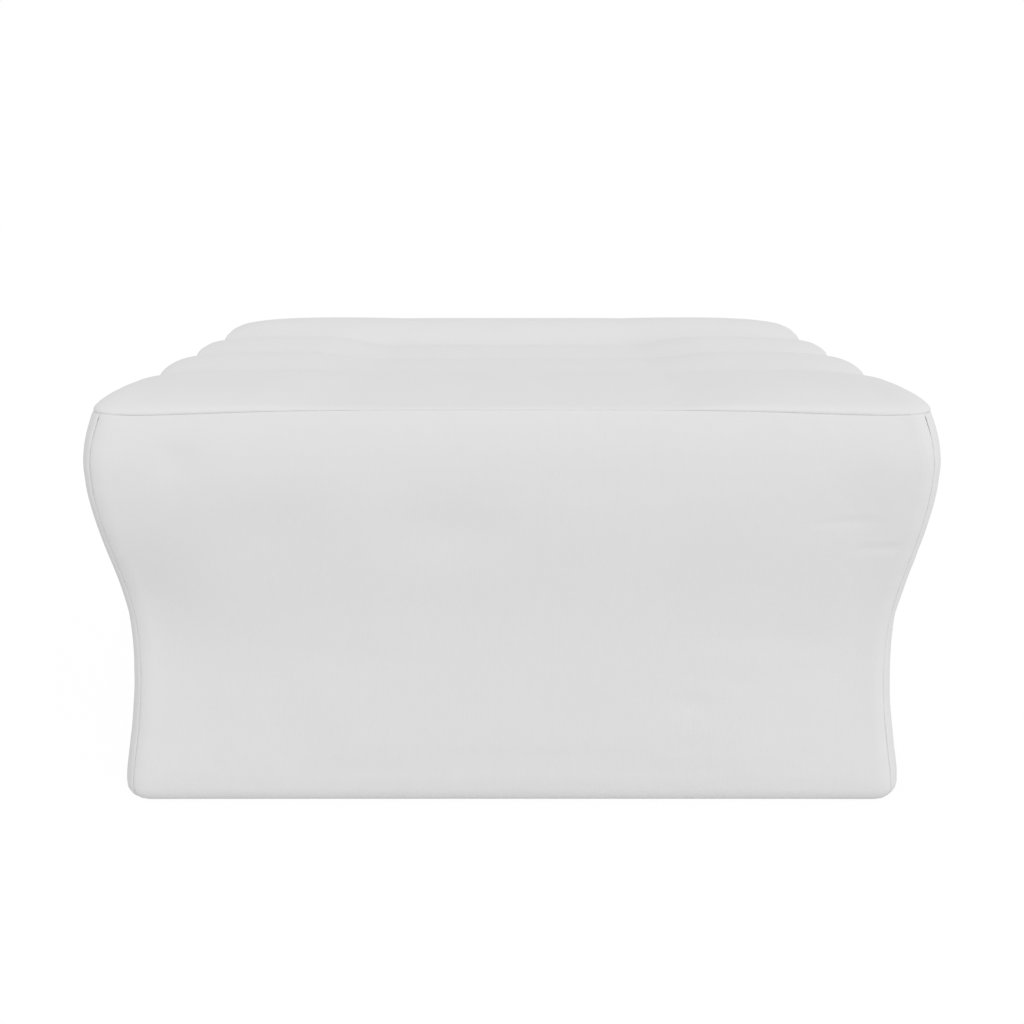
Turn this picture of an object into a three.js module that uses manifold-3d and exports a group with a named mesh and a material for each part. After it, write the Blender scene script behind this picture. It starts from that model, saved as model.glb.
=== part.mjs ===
// A camp pillow: a sewn knit cover with a four-roll top, a wadding pad, an air bladder held in shape by three
// I-beam baffles, a zip across the back wall and a two-stage flat valve in the right-hand end wall.
// Millimetres, +Z up. The origin is the centre of the footprint, on the surface that the pillow stands on.
// +X is the right-hand end (valve), -Y is the front, +Y is the back (zip).
import * as THREE from "three";
import { mergeVertices } from "three/addons/utils/BufferGeometryUtils.js";
import Module from "manifold-3d";

const wasm = await Module();
wasm.setup();

// ---- Driving dimensions ----
const GAP = 0.3; // clearance between pieces that touch

// Outline, at the widest level of the walls
const WIDTH = 360;
const DEPTH = 300;
const CORNER_RADIUS = 12;

// Wall profile: how far the wall lies inside the widest outline at each level
const FLARE_HEIGHT = 5;
const FLARE_INSET = 1.8;
const BASE_TURN = 3.6; // how far the wall curls in under the base edge
const WAIST_HEIGHT = 73;
const WAIST_INSET = 9.3; // at the corners, and all along the back wall
const WAIST_INSET_MIDDLE = 5.2; // half way along the front and end walls
const SEAM_HEIGHT = 177.8;
const BULGE_DROP = 23.8; // the widest level lies this far under the top seam
const BULGE_HEIGHT = SEAM_HEIGHT - BULGE_DROP;
const SEAM_INSET = 4.85;
const SEAM_RISE = 2.5; // how much higher the top seam runs half way along the front and back
const CORNER_REACH = 60; // how far the pull of a corner seam carries along a wall

// Rolls of the top, from front to back. Their heights are counted from the top seam.
const FRONT_ROLL_SHARE = 92; // width of the front roll against
const BACK_ROLL_SHARE = 66; // that of each of the three behind it
const CREST_SIDE = [7.6, 6.6, 5.8, 7.9];
const CREST_DIP = [4.8, 2.6, 1, 7.4]; // in the dip where the head lies
const VALLEY_SIDE = [3.2, 0.7, -1.8];
const VALLEY_DIP = [3.1, -1.8, -5.8];
const DIP_INNER = WIDTH / 2 - 115; // the head dip is level to this distance from the middle
const DIP_OUTER = WIDTH / 2 - 70; // and is gone at this distance
const END_ROUND_FRONT = 30; // length over which a roll rounds down to the end seam, at the front
const END_ROUND_BACK = 64; // and at the back
const EDGE_ROUND = 45; // the same, at the front and back seams
const ROUND_POWER = 2.5; // squareness of that rounding: 2 is an ellipse

// Sheets
const COVER = 2;
const PAD = 6;
const FILM = 1;
const SEAM_ALLOWANCE = 6;
const BINDING = 1.6;
const BINDING_EASE = 0.8; // looseness of the corner bindings in the cover
const PAD_EASE = 0.6; // looseness of the pad under the cover
const BLADDER_EASE = 1.2; // looseness of the bladder in the cover
const BASE_EASE = 0.7; // looseness of the layers on the base

// Bladder and baffles
const BLADDER_CORNER = 28;
const BLADDER_BACK_ROOM = 6.5; // extra room behind the zip
const BASE_FILM_INSET = 5; // the bladder's base film lies this far inside the flare
const BLADDER_TOP_DROP = 10.5; // the bladder's top seam lies this far under the cover's
const BAFFLE_HALF_LENGTH = WIDTH / 2 - 40;
const BAFFLE_WEB = 1.2;
const BAFFLE_FLANGE = 14;
const BAFFLE_EASE = 0.4;

// Zip, a no. 5 coil zip lying across the back wall at the waist
const ZIP_HALF_LENGTH = WIDTH / 2 - 32;
const ZIP_SLOT = 12; // height of the slot between the two back panels
const ZIP_TAPE_WIDTH = 13;
const ZIP_SPLIT = 1.3; // free space between the two coils, where the slider's bridge runs
const ZIP_COIL_WIDTH = 2.6;
const ZIP_COIL_THICKNESS = 2.4;
const ZIP_STOP_LENGTH = 3;
const SLIDER_LENGTH = 12;
const SLIDER_WIDTH = 9.5;
const SLIDER_PLATE = 1.1;
const SLIDER_BRIDGE = 0.6;
const BAIL_HEIGHT = 3.1;
const BAIL_THICKNESS = 0.9;
const BAIL_WIDTH = 1.8;
const PULL_LENGTH = 26;
const PULL_WIDTH = 7;
const PULL_THICKNESS = 1.4;
const PULL_PIN_RADIUS = 0.65;

// Valve, on an axis along +X through the right-hand end wall at the waist
const VALVE_Y = 50;
const SEAT_INNER = 12.4;
const SEAT_OUTER = SEAT_INNER + 2.5;
const SEAT_LIP = SEAT_OUTER + 2.1;
const SEAT_DEPTH = 8;
const PORT_BINDING_INNER = SEAT_LIP + 1;
const VALVE_PORT_RADIUS = PORT_BINDING_INNER + 2 + GAP; // the cut-out in the cover
const PORT_BINDING_INWARD = 1.9;
const PORT_BINDING_OUTWARD = 0.5;
const WELD_FLANGE_OUTER = SEAT_OUTER + 9.1;
const WELD_FLANGE = 1.2;
const PLUG_CLEARANCE = 0.5;
const PLUG_DEPTH = 3;
const RING_HEAD_RADIUS = SEAT_OUTER + 0.7;
const RING_HEAD = 2.2;
const PORT_RADIUS = 5.4;
const CAP_HEAD_RADIUS = PORT_RADIUS + 3.8;
const CAP_HEAD = 1.8;
const CAP_PLUG_DEPTH = 1.8;
const CAP_PLUG_CLEARANCE = 0.4;
const FLAP_RADIUS = PORT_RADIUS + 2;
const FLAP = 1;
const FLAP_STEM_RADIUS = 0.6;
const FLAP_LIFT = 1.2;
const SPIDER = 1;
const SPIDER_HUB = 1.8;
const BARREL_RADIUS = 1.1;
const RING_HINGE_OUT = SEAT_OUTER + 2.9; // distance of the ring's hinge from the valve's axis
const CAP_HINGE_OUT = CAP_HEAD_RADIUS + 2;
const THUMB_TAB = 4;

// ---- Materials ----
const material = (color, roughness, metalness = 0) =>
  new THREE.MeshStandardMaterial({ color, roughness, metalness });
const knit = material(0xdcdcdc, 0.95);
const tape = material(0xcfd0d0, 0.95);
const wadding = material(0xf1f1ee, 1);
const film = material(0xc9cdd0, 0.5);
const nylon = material(0xb4b6b8, 0.45);
const dieCast = material(0x8f9295, 0.35, 1);
const moulding = material(0xa9acae, 0.5);
const silicone = material(0xd7dadb, 0.4);

const pillow = new THREE.Group();

function add(name, geometry, finish) {
  const mesh = new THREE.Mesh(geometry, finish);
  mesh.name = name;
  pillow.add(mesh);
}

// ---- Solids from grids ----
const lerp = (a, b, t) => a + (b - a) * t;
const smooth = (t) => {
  const c = Math.min(1, Math.max(0, t));
  return c * c * (3 - 2 * c);
};
const steps = (from, to, count) => Array.from({ length: count + 1 }, (_, i) => lerp(from, to, i / count));

// A closed sheet between two point grids, outer[i][j] and inner[i][j]. Seen from outside, i runs to the right and
// j runs up. With loop, the last column joins the first.
function sheet(outer, inner, loop = false) {
  const columns = outer.length;
  const rows = outer[0].length;
  const points = [...outer.flat(), ...inner.flat()];
  const index = [];
  const at = (side, i, j) => side * columns * rows + (i % columns) * rows + j;
  const quad = (a, b, c, d) => index.push(a, b, c, a, c, d);
  const last = loop ? columns : columns - 1;
  for (let i = 0; i < last; i++) {
    for (let j = 0; j < rows - 1; j++) {
      quad(at(0, i, j), at(0, i + 1, j), at(0, i + 1, j + 1), at(0, i, j + 1));
      quad(at(1, i, j), at(1, i, j + 1), at(1, i + 1, j + 1), at(1, i + 1, j));
    }
    quad(at(1, i, 0), at(1, i + 1, 0), at(0, i + 1, 0), at(0, i, 0));
    quad(at(0, i, rows - 1), at(0, i + 1, rows - 1), at(1, i + 1, rows - 1), at(1, i, rows - 1));
  }
  if (!loop) {
    const end = columns - 1;
    for (let j = 0; j < rows - 1; j++) {
      quad(at(0, 0, j), at(0, 0, j + 1), at(1, 0, j + 1), at(1, 0, j));
      quad(at(0, end, j), at(1, end, j), at(1, end, j + 1), at(0, end, j + 1));
    }
  }
  const geometry = new THREE.BufferGeometry();
  geometry.setAttribute("position", new THREE.Float32BufferAttribute(points.flat(), 3));
  geometry.setIndex(index);
  return geometry;
}

// A solid lofted through closed sections of equal point counts, each anticlockwise seen from the far end.
function loft(sections) {
  const count = sections[0].length;
  const points = sections.flat();
  const index = [];
  sections.slice(1).forEach((_, s) => {
    for (let k = 0; k < count; k++) {
      const a = s * count + k;
      const b = s * count + ((k + 1) % count);
      index.push(a, b, b + count, a, b + count, a + count);
    }
  });
  const flat = sections[0].map((p) => new THREE.Vector2(...p.sectionPlane));
  const caps = THREE.ShapeUtils.triangulateShape(flat, []);
  const top = (sections.length - 1) * count;
  for (const [a, b, c] of caps) {
    index.push(a, c, b, top + a, top + b, top + c);
  }
  const geometry = new THREE.BufferGeometry();
  geometry.setAttribute("position", new THREE.Float32BufferAttribute(points.flatMap((p) => p.at), 3));
  geometry.setIndex(index);
  return geometry;
}

// ---- Booleans ----
function solid(geometry) {
  const bare = geometry.clone();
  bare.deleteAttribute("normal");
  bare.deleteAttribute("uv");
  const merged = mergeVertices(bare, 1e-4);
  return new wasm.Manifold(
    new wasm.Mesh({
      numProp: 3,
      vertProperties: merged.attributes.position.array,
      triVerts: new Uint32Array(merged.index.array),
    }),
  );
}

function geometryOf(manifold) {
  const mesh = manifold.getMesh();
  const geometry = new THREE.BufferGeometry();
  geometry.setAttribute("position", new THREE.BufferAttribute(new Float32Array(mesh.vertProperties), 3));
  geometry.setIndex(new THREE.BufferAttribute(new Uint32Array(mesh.triVerts), 1));
  return geometry;
}

const join = (...geometries) => geometryOf(geometries.map(solid).reduce((a, b) => a.add(b)));
const cut = (geometry, ...tools) => geometryOf(tools.map(solid).reduce((a, b) => a.subtract(b), solid(geometry)));

function block(low, high) {
  const size = high.map((v, k) => v - low[k]);
  const geometry = new THREE.BoxGeometry(...size);
  return geometry.translate(...high.map((v, k) => (v + low[k]) / 2));
}

// ---- Wall profile ----
// share 0 is the base seam and 1 the top seam. The profile has four stretches between named levels.
const BASE_END = 0.2;
const WAIST_SHARE = 0.5;
const BULGE_SHARE = 0.8;

// How strongly a corner pulls, at a distance from it along a wall: 1 at the corner, 0 far away.
const cornerPull = (distance) => Math.exp(-((Math.max(0, distance) / CORNER_REACH) ** 2));

function profile(share, waist, seamHeight) {
  if (share <= BASE_END) {
    const angle = (share / BASE_END) * (Math.PI / 2);
    return [FLARE_INSET + BASE_TURN * (1 - Math.sin(angle)), FLARE_HEIGHT * (1 - Math.cos(angle))];
  }
  if (share <= WAIST_SHARE) {
    const t = (share - BASE_END) / (WAIST_SHARE - BASE_END);
    return [lerp(FLARE_INSET, waist, Math.sin((t * Math.PI) / 2)), lerp(FLARE_HEIGHT, WAIST_HEIGHT, t)];
  }
  if (share <= BULGE_SHARE) {
    const t = (share - WAIST_SHARE) / (BULGE_SHARE - WAIST_SHARE);
    return [(waist * (1 + Math.cos(t * Math.PI))) / 2, lerp(WAIST_HEIGHT, BULGE_HEIGHT, t)];
  }
  const t = (share - BULGE_SHARE) / (1 - BULGE_SHARE);
  return [SEAM_INSET * t * t, lerp(BULGE_HEIGHT, seamHeight, t)];
}

// The profile moved inwards by offset, square to itself: [inset, height].
function profileAt(share, offset, waist = WAIST_INSET, seamHeight = SEAM_HEIGHT) {
  const here = profile(share, waist, seamHeight);
  if (offset === 0) {
    return here;
  }
  const delta = 1e-3;
  const before = profile(Math.max(0, share - delta), waist, seamHeight);
  const after = profile(Math.min(1, share + delta), waist, seamHeight);
  const run = [after[0] - before[0], after[1] - before[1]];
  const length = Math.hypot(...run);
  return [here[0] + (offset * run[1]) / length, here[1] - (offset * run[0]) / length];
}

// The share of the profile at which the wall reaches a height between the flare and the bulge.
function shareAtHeight(height) {
  if (height <= WAIST_HEIGHT) {
    return lerp(BASE_END, WAIST_SHARE, (height - FLARE_HEIGHT) / (WAIST_HEIGHT - FLARE_HEIGHT));
  }
  return lerp(WAIST_SHARE, BULGE_SHARE, (height - WAIST_HEIGHT) / (BULGE_HEIGHT - WAIST_HEIGHT));
}

// ---- Plan of the walls ----
// A side's local axes: along it, seen from outside from left to right, and out of it.
const SIDES = {
  front: { along: [1, 0], out: [0, -1], half: WIDTH / 2, reach: DEPTH / 2, middle: WAIST_INSET_MIDDLE },
  right: { along: [0, 1], out: [1, 0], half: DEPTH / 2, reach: WIDTH / 2, middle: WAIST_INSET_MIDDLE },
  back: { along: [-1, 0], out: [0, 1], half: WIDTH / 2, reach: DEPTH / 2, middle: WAIST_INSET },
  left: { along: [0, -1], out: [-1, 0], half: DEPTH / 2, reach: WIDTH / 2, middle: WAIST_INSET_MIDDLE },
};

const seamRise = (side, distance) => (side.out[0] === 0 ? SEAM_RISE * (1 - cornerPull(distance)) : 0);

// Stations along a side, from corner seam to corner seam: arcs at each end and a straight between them.
function sideStations(arcs, straights, radius = CORNER_RADIUS) {
  const trim = GAP / 2 / radius;
  const left = steps(Math.PI / 4 + trim, Math.PI / 2, arcs).map((angle) => ({ end: -1, angle }));
  const middle = steps(-1, 1, straights).slice(1, -1).map((share) => ({ end: 0, share }));
  const right = steps(Math.PI / 2, Math.PI / 4 + trim, arcs).map((angle) => ({ end: 1, angle }));
  return [...left, ...middle, ...right];
}

// A point of a side at a station and a share of the profile, offset inwards.
function wallPoint(side, station, share, offset, radius = CORNER_RADIUS) {
  const [cornerInset] = profileAt(share, 0);
  const corner = side.half - cornerInset - radius;
  const place = station.end === 0 ? Math.abs(station.share) * corner : corner + radius * Math.cos(station.angle);
  const distance = side.half - place - CORNER_RADIUS;
  const waist = lerp(side.middle, WAIST_INSET, cornerPull(distance));
  const [inset, height] = profileAt(share, offset, waist, SEAM_HEIGHT + seamRise(side, distance));
  let along = station.share * corner;
  let out = side.reach - inset;
  if (station.end !== 0) {
    const reach = radius - (inset - cornerInset);
    along = station.end * (corner + reach * Math.cos(station.angle));
    out = side.reach - cornerInset - radius + reach * Math.sin(station.angle);
  }
  return [
    side.along[0] * along + side.out[0] * out,
    side.along[1] * along + side.out[1] * out,
    height,
  ];
}

const BASE_SHARES = steps(0.004, BASE_END, 3);
const LOWER_SHARES = steps(BASE_END, WAIST_SHARE, 4);
const UPPER_SHARES = steps(WAIST_SHARE, BULGE_SHARE, 4);
const SEAM_SHARES = steps(BULGE_SHARE, 0.994, 2);
const WALL_SHARES = [...BASE_SHARES, ...LOWER_SHARES.slice(1), ...UPPER_SHARES.slice(1), ...SEAM_SHARES.slice(1)];

function wallPanel(side, stations, shares, outerOffset, innerOffset) {
  const grid = (offset) => stations.map((station) => shares.map((share) => wallPoint(side, station, share, offset)));
  return sheet(grid(outerOffset), grid(innerOffset));
}

// ---- Top surface ----
const TOP_HALF_WIDTH = WIDTH / 2 - SEAM_INSET;
const TOP_HALF_DEPTH = DEPTH / 2 - SEAM_INSET;
const rollScale = (2 * TOP_HALF_DEPTH) / (FRONT_ROLL_SHARE + 3 * BACK_ROLL_SHARE);
const VALLEYS = [0, 1, 2].map(
  (k) => -TOP_HALF_DEPTH + (FRONT_ROLL_SHARE + k * BACK_ROLL_SHARE) * rollScale,
);
const ROLL_EDGES = [-TOP_HALF_DEPTH, ...VALLEYS, TOP_HALF_DEPTH];

const END_ROUND = (END_ROUND_FRONT + END_ROUND_BACK) / 2;
const endRound = (y) => lerp(END_ROUND_FRONT, END_ROUND_BACK, (y / TOP_HALF_DEPTH + 1) / 2);

const roundOff = (t) => (t <= 0 ? 1 : (1 - Math.min(1, t) ** ROUND_POWER) ** (1 / ROUND_POWER));

const dipShare = (x) => smooth((DIP_OUTER - Math.abs(x)) / (DIP_OUTER - DIP_INNER));

// Height of the rolls at a point, before they round off at the seams.
function rollHeight(x, y) {
  const dip = dipShare(x);
  const crests = CREST_SIDE.map((side, k) => SEAM_HEIGHT + lerp(side, CREST_DIP[k], dip));
  const valleys = VALLEY_SIDE.map((side, k) => SEAM_HEIGHT + lerp(side, VALLEY_DIP[k], dip));
  const roll = VALLEYS.filter((valley) => y > valley).length;
  const share = (y - ROLL_EDGES[roll]) / (ROLL_EDGES[roll + 1] - ROLL_EDGES[roll]);
  const crest = crests[roll];
  const before = roll === 0 ? crest : valleys[roll - 1];
  const after = roll === 3 ? crest : valleys[roll];
  if ((roll === 0 && share < 0.5) || (roll === 3 && share > 0.5)) {
    return crest;
  }
  if (roll === 0) {
    return lerp(crest, after, (2 * share - 1) ** 2);
  }
  if (roll === 3) {
    return lerp(crest, before, (1 - 2 * share) ** 2);
  }
  return lerp(before, after, share) + (crest - (before + after) / 2) * 4 * share * (1 - share);
}

const seamLevel = (x) => SEAM_HEIGHT + SEAM_RISE * (1 - cornerPull(WIDTH / 2 - Math.abs(x) - CORNER_RADIUS));

// Height of the top at a point, shrunk by offset all round.
function topHeight(x, y, offset) {
  const level = seamLevel(x);
  const endCap = roundOff((Math.abs(x) - (TOP_HALF_WIDTH - offset - endRound(y))) / endRound(y));
  const edgeCap = roundOff((Math.abs(y) - (TOP_HALF_DEPTH - offset - EDGE_ROUND)) / EDGE_ROUND);
  return level + (rollHeight(x, y) - offset - level) * endCap * edgeCap;
}

const PAD_DEPTH = COVER + GAP + PAD_EASE; // the pad's upper face lies this far under the cover's
const FILM_DEPTH = PAD_DEPTH + PAD + GAP + PAD_EASE;

// Height of the bladder's top film, which drops to its own lower seam.
function bladderTopHeight(x, y, halfWidth, front, back) {
  const level = SEAM_HEIGHT - BLADDER_TOP_DROP;
  const halfDepth = y < 0 ? front : back;
  const endCap = roundOff((Math.abs(x) - (halfWidth - endRound(y))) / endRound(y));
  const edgeCap = roundOff((Math.abs(y) - (halfDepth - EDGE_ROUND)) / EDGE_ROUND);
  return level + (rollHeight(x, y) - FILM_DEPTH - level) * endCap * edgeCap;
}

// Stations across a rounded span: close together where the surface turns down at the ends.
function roundedStations(half, round, turns, inner) {
  const turn = steps(0, Math.PI / 2, turns).map((angle) => half - round + round * Math.sin(angle) ** (2 / ROUND_POWER));
  return [...turn.map((v) => -v).reverse(), ...inner, ...turn];
}

const DIP_STATIONS = [-DIP_OUTER, -(DIP_OUTER + DIP_INNER) / 2, -DIP_INNER, 0];
DIP_STATIONS.push(...DIP_STATIONS.slice(0, 3).map((x) => -x).reverse());

// Stations across the rolls between two levels places, with each valley among them.
function rollStations(from, to, count) {
  return [
    ...steps(from, VALLEYS[0], count).slice(1),
    ...steps(VALLEYS[0], VALLEYS[1], count).slice(1),
    ...steps(VALLEYS[1], VALLEYS[2], count).slice(1),
    ...steps(VALLEYS[2], to, 2).slice(1, -1),
  ];
}

// A sheet over a rounded rectangle: x is scaled to the outline's width at each y.
function topSheet(xs, ys, half, radius, heightOuter, heightInner, shrink, front = half[1], back = half[1]) {
  const grid = (height, less) =>
    xs.map((x) =>
      ys.map((y) => {
        const depth = (y < 0 ? front : back) - less;
        const yHere = (y * depth) / (y < 0 ? front : back);
        const over = Math.max(0, Math.abs(yHere) - (depth - (radius - less)));
        const round = Math.sqrt(Math.max(0, (radius - less) ** 2 - over ** 2));
        const width = half[0] - less - (radius - less) + round;
        const xHere = (x * width) / half[0];
        return [xHere, yHere, height(xHere, yHere)];
      }),
    );
  return sheet(grid(heightOuter, 0), grid(heightInner, shrink));
}

// ---- Cover ----
function addCover() {
  const stations = sideStations(2, 8);
  for (const name of ["front", "left"]) {
    add(`cover_${name}_wall`, wallPanel(SIDES[name], stations, WALL_SHARES, 0, COVER), knit);
  }
  const port = new THREE.CylinderGeometry(VALVE_PORT_RADIUS, VALVE_PORT_RADIUS, 30, 30);
  port.rotateZ(-Math.PI / 2).translate(WIDTH / 2, VALVE_Y, WAIST_HEIGHT);
  const right = wallPanel(SIDES.right, stations, WALL_SHARES, 0, COVER);
  add("cover_right_wall", cut(right, port), knit);

  // The back wall is two panels with the zip's slot between them. Seen from outside, its left is at +X.
  const slotLow = shareAtHeight(WAIST_HEIGHT - ZIP_SLOT / 2);
  const slotHigh = shareAtHeight(WAIST_HEIGHT + ZIP_SLOT / 2);
  const lower = [...BASE_SHARES, ...steps(BASE_END, slotLow, 4).slice(1)];
  const upper = [...steps(slotHigh, BULGE_SHARE, 4), ...SEAM_SHARES.slice(1)];
  add("cover_back_lower", wallPanel(SIDES.back, stations, lower, 0, COVER), knit);
  add("cover_back_upper", wallPanel(SIDES.back, stations, upper, 0, COVER), knit);
  const tabShares = [
    shareAtHeight(WAIST_HEIGHT - ZIP_SLOT / 2 + GAP),
    WAIST_SHARE,
    shareAtHeight(WAIST_HEIGHT + ZIP_SLOT / 2 - GAP),
  ];
  const corner = SIDES.back.half - WAIST_INSET - CORNER_RADIUS;
  const start = (ZIP_HALF_LENGTH + GAP) / corner;
  const leftTab = [{ end: 0, share: start }, ...stations.filter((s) => s.end === 1)];
  const rightTab = [...stations.filter((s) => s.end === -1), { end: 0, share: -start }];
  add("zip_end_tab_left", wallPanel(SIDES.back, leftTab, tabShares, 0, COVER), knit);
  add("zip_end_tab_right", wallPanel(SIDES.back, rightTab, tabShares, 0, COVER), knit);

  const xs = roundedStations(TOP_HALF_WIDTH, END_ROUND, 4, DIP_STATIONS);
  const front = roundedStations(TOP_HALF_DEPTH, EDGE_ROUND, 4, []).filter((y) => y < 0);
  const back = front.map((y) => -y).reverse();
  const lift = GAP / 2;
  const outer = (x, y) => topHeight(x, y, 0) + lift;
  const inner = (x, y) => topHeight(x, y, COVER) + lift;
  const half = [TOP_HALF_WIDTH, TOP_HALF_DEPTH];
  const ys = [...front, ...rollStations(-TOP_HALF_DEPTH + EDGE_ROUND, TOP_HALF_DEPTH - EDGE_ROUND, 5), ...back];
  add("cover_top", topSheet(xs, ys, half, CORNER_RADIUS, outer, inner, COVER), knit);

  const baseInset = FLARE_INSET + BASE_TURN + GAP / 2;
  add("cover_base", plate(baseInset, CORNER_RADIUS, 0, COVER), knit);
}

// A flat rounded plate inside the outline by inset.
function plate(inset, radius, low, high, roomBack = 0) {
  const x = WIDTH / 2 - inset;
  const front = DEPTH / 2 - inset;
  const back = front - roomBack;
  const shape = new THREE.Shape();
  shape.moveTo(-x + radius, -front);
  shape.lineTo(x - radius, -front);
  shape.absarc(x - radius, -front + radius, radius, -Math.PI / 2, 0);
  shape.lineTo(x, back - radius);
  shape.absarc(x - radius, back - radius, radius, 0, Math.PI / 2);
  shape.lineTo(-x + radius, back);
  shape.absarc(-x + radius, back - radius, radius, Math.PI / 2, Math.PI);
  shape.lineTo(-x, -front + radius);
  shape.absarc(-x + radius, -front + radius, radius, Math.PI, 1.5 * Math.PI);
  const geometry = new THREE.ExtrudeGeometry(shape, { depth: high - low, bevelEnabled: false, curveSegments: 5 });
  return geometry.translate(0, 0, low);
}

// ---- Bindings over the seam allowances, inside the cover ----
const loopPoints = (stations, point) =>
  ["front", "right", "back", "left"].flatMap((name) => stations.map((station) => point(SIDES[name], station)));

function addBindings() {
  const foot = shareAtHeight(BASE_FILM_LOW + FILM);
  const shares = [foot, ...LOWER_SHARES.slice(1), ...UPPER_SHARES.slice(1), ...steps(BULGE_SHARE, 0.93, 2).slice(1)];
  for (const [name, signX, signY] of [
    ["front_left", -1, -1],
    ["front_right", 1, -1],
    ["back_right", 1, 1],
    ["back_left", -1, 1],
  ]) {
    const sections = shares.map((share) => {
      const [inset, height] = profileAt(share, 0);
      const centreX = WIDTH / 2 - inset - CORNER_RADIUS;
      const centreY = DEPTH / 2 - inset - CORNER_RADIUS;
      const [lining] = profileAt(share, COVER);
      const far = CORNER_RADIUS - (lining - inset) - BINDING_EASE;
      const near = far - SEAM_ALLOWANCE;
      const corners = [
        [near, -BINDING / 2],
        [far, -BINDING / 2],
        [far, BINDING / 2],
        [near, BINDING / 2],
      ];
      return corners.map(([radial, across]) => {
        const x = signX * (centreX + (radial - signX * signY * across) * Math.SQRT1_2);
        const y = signY * (centreY + (radial + signX * signY * across) * Math.SQRT1_2);
        return { at: [x, y, height], sectionPlane: [radial, across] };
      });
    });
    add(`corner_binding_${name}`, loft(sections), tape);
  }

  // Flat rings under the top seam and over the base seam.
  const stations = sideStations(2, 6);
  const ring = (inset, height) =>
    loopPoints(stations, (side, station) => {
      const at = wallPoint(side, station, 0.9999, 0);
      const [seam] = profileAt(0.9999, 0);
      const move = inset - seam;
      const centre = [
        Math.sign(at[0]) * Math.min(Math.abs(at[0]), WIDTH / 2 - seam - CORNER_RADIUS),
        Math.sign(at[1]) * Math.min(Math.abs(at[1]), DEPTH / 2 - seam - CORNER_RADIUS),
      ];
      const share = (CORNER_RADIUS - move) / CORNER_RADIUS;
      return [lerp(centre[0], at[0], share), lerp(centre[1], at[1], share), height(at[2])];
    });
  const outerInset = SEAM_INSET + COVER + GAP;
  const innerInset = outerInset + SEAM_ALLOWANCE - COVER;
  const under = (seam) => seam - COVER;
  const lower = (seam) => under(seam) - BINDING;
  const topOuter = [ring(outerInset, lower), ring(outerInset, under)];
  const topInner = [ring(innerInset, lower), ring(innerInset, under)];
  add("top_seam_binding", ringSolid(topOuter, topInner), tape);

  const baseSeam = FLARE_INSET + BASE_TURN;
  const over = COVER + BASE_EASE;
  const baseAt = (inset, height) => plateLoop(inset, CORNER_RADIUS, height);
  const baseOuter = [baseAt(baseSeam, over), baseAt(baseSeam, over + BINDING)];
  const innerEdge = baseSeam + SEAM_ALLOWANCE - COVER;
  const baseInner = [baseAt(innerEdge, over), baseAt(innerEdge, over + BINDING)];
  add("base_seam_binding", ringSolid(baseOuter, baseInner), tape);
}

// The outline of a rounded rectangle at an inset, anticlockwise from above.
function plateLoop(inset, radius, height, room = { front: 0, back: 0 }) {
  const x = WIDTH / 2 - inset - radius;
  const corners = [
    [x, -(DEPTH / 2 - inset - room.front - radius), -Math.PI / 2],
    [x, DEPTH / 2 - inset - room.back - radius, 0],
    [-x, DEPTH / 2 - inset - room.back - radius, Math.PI / 2],
    [-x, -(DEPTH / 2 - inset - room.front - radius), Math.PI],
  ];
  return corners.flatMap(([cx, cy, start]) =>
    steps(start, start + Math.PI / 2, 5).map((angle) => [
      cx + radius * Math.cos(angle),
      cy + radius * Math.sin(angle),
      height,
    ]),
  );
}

// A ring between outer and inner loops, each given as [lower loop, upper loop].
function ringSolid(outer, inner) {
  const columns = (loops) => loops[0].map((_, i) => loops.map((loop) => loop[i]));
  return sheet(columns(outer), columns(inner), true);
}

// ---- Pad, bladder and baffles ----
const BLADDER_EDGE = SEAM_INSET + 1.3;
const BLADDER_HALF_WIDTH = WIDTH / 2 - BLADDER_EDGE;
const BLADDER_FRONT = DEPTH / 2 - BLADDER_EDGE;
const BLADDER_BACK = BLADDER_FRONT - BLADDER_BACK_ROOM;
const BASE_FILM_LOW = COVER + BASE_EASE + BINDING + GAP;

const bladderTop = (x, y) => bladderTopHeight(x, y, BLADDER_HALF_WIDTH, BLADDER_FRONT, BLADDER_BACK);

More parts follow.
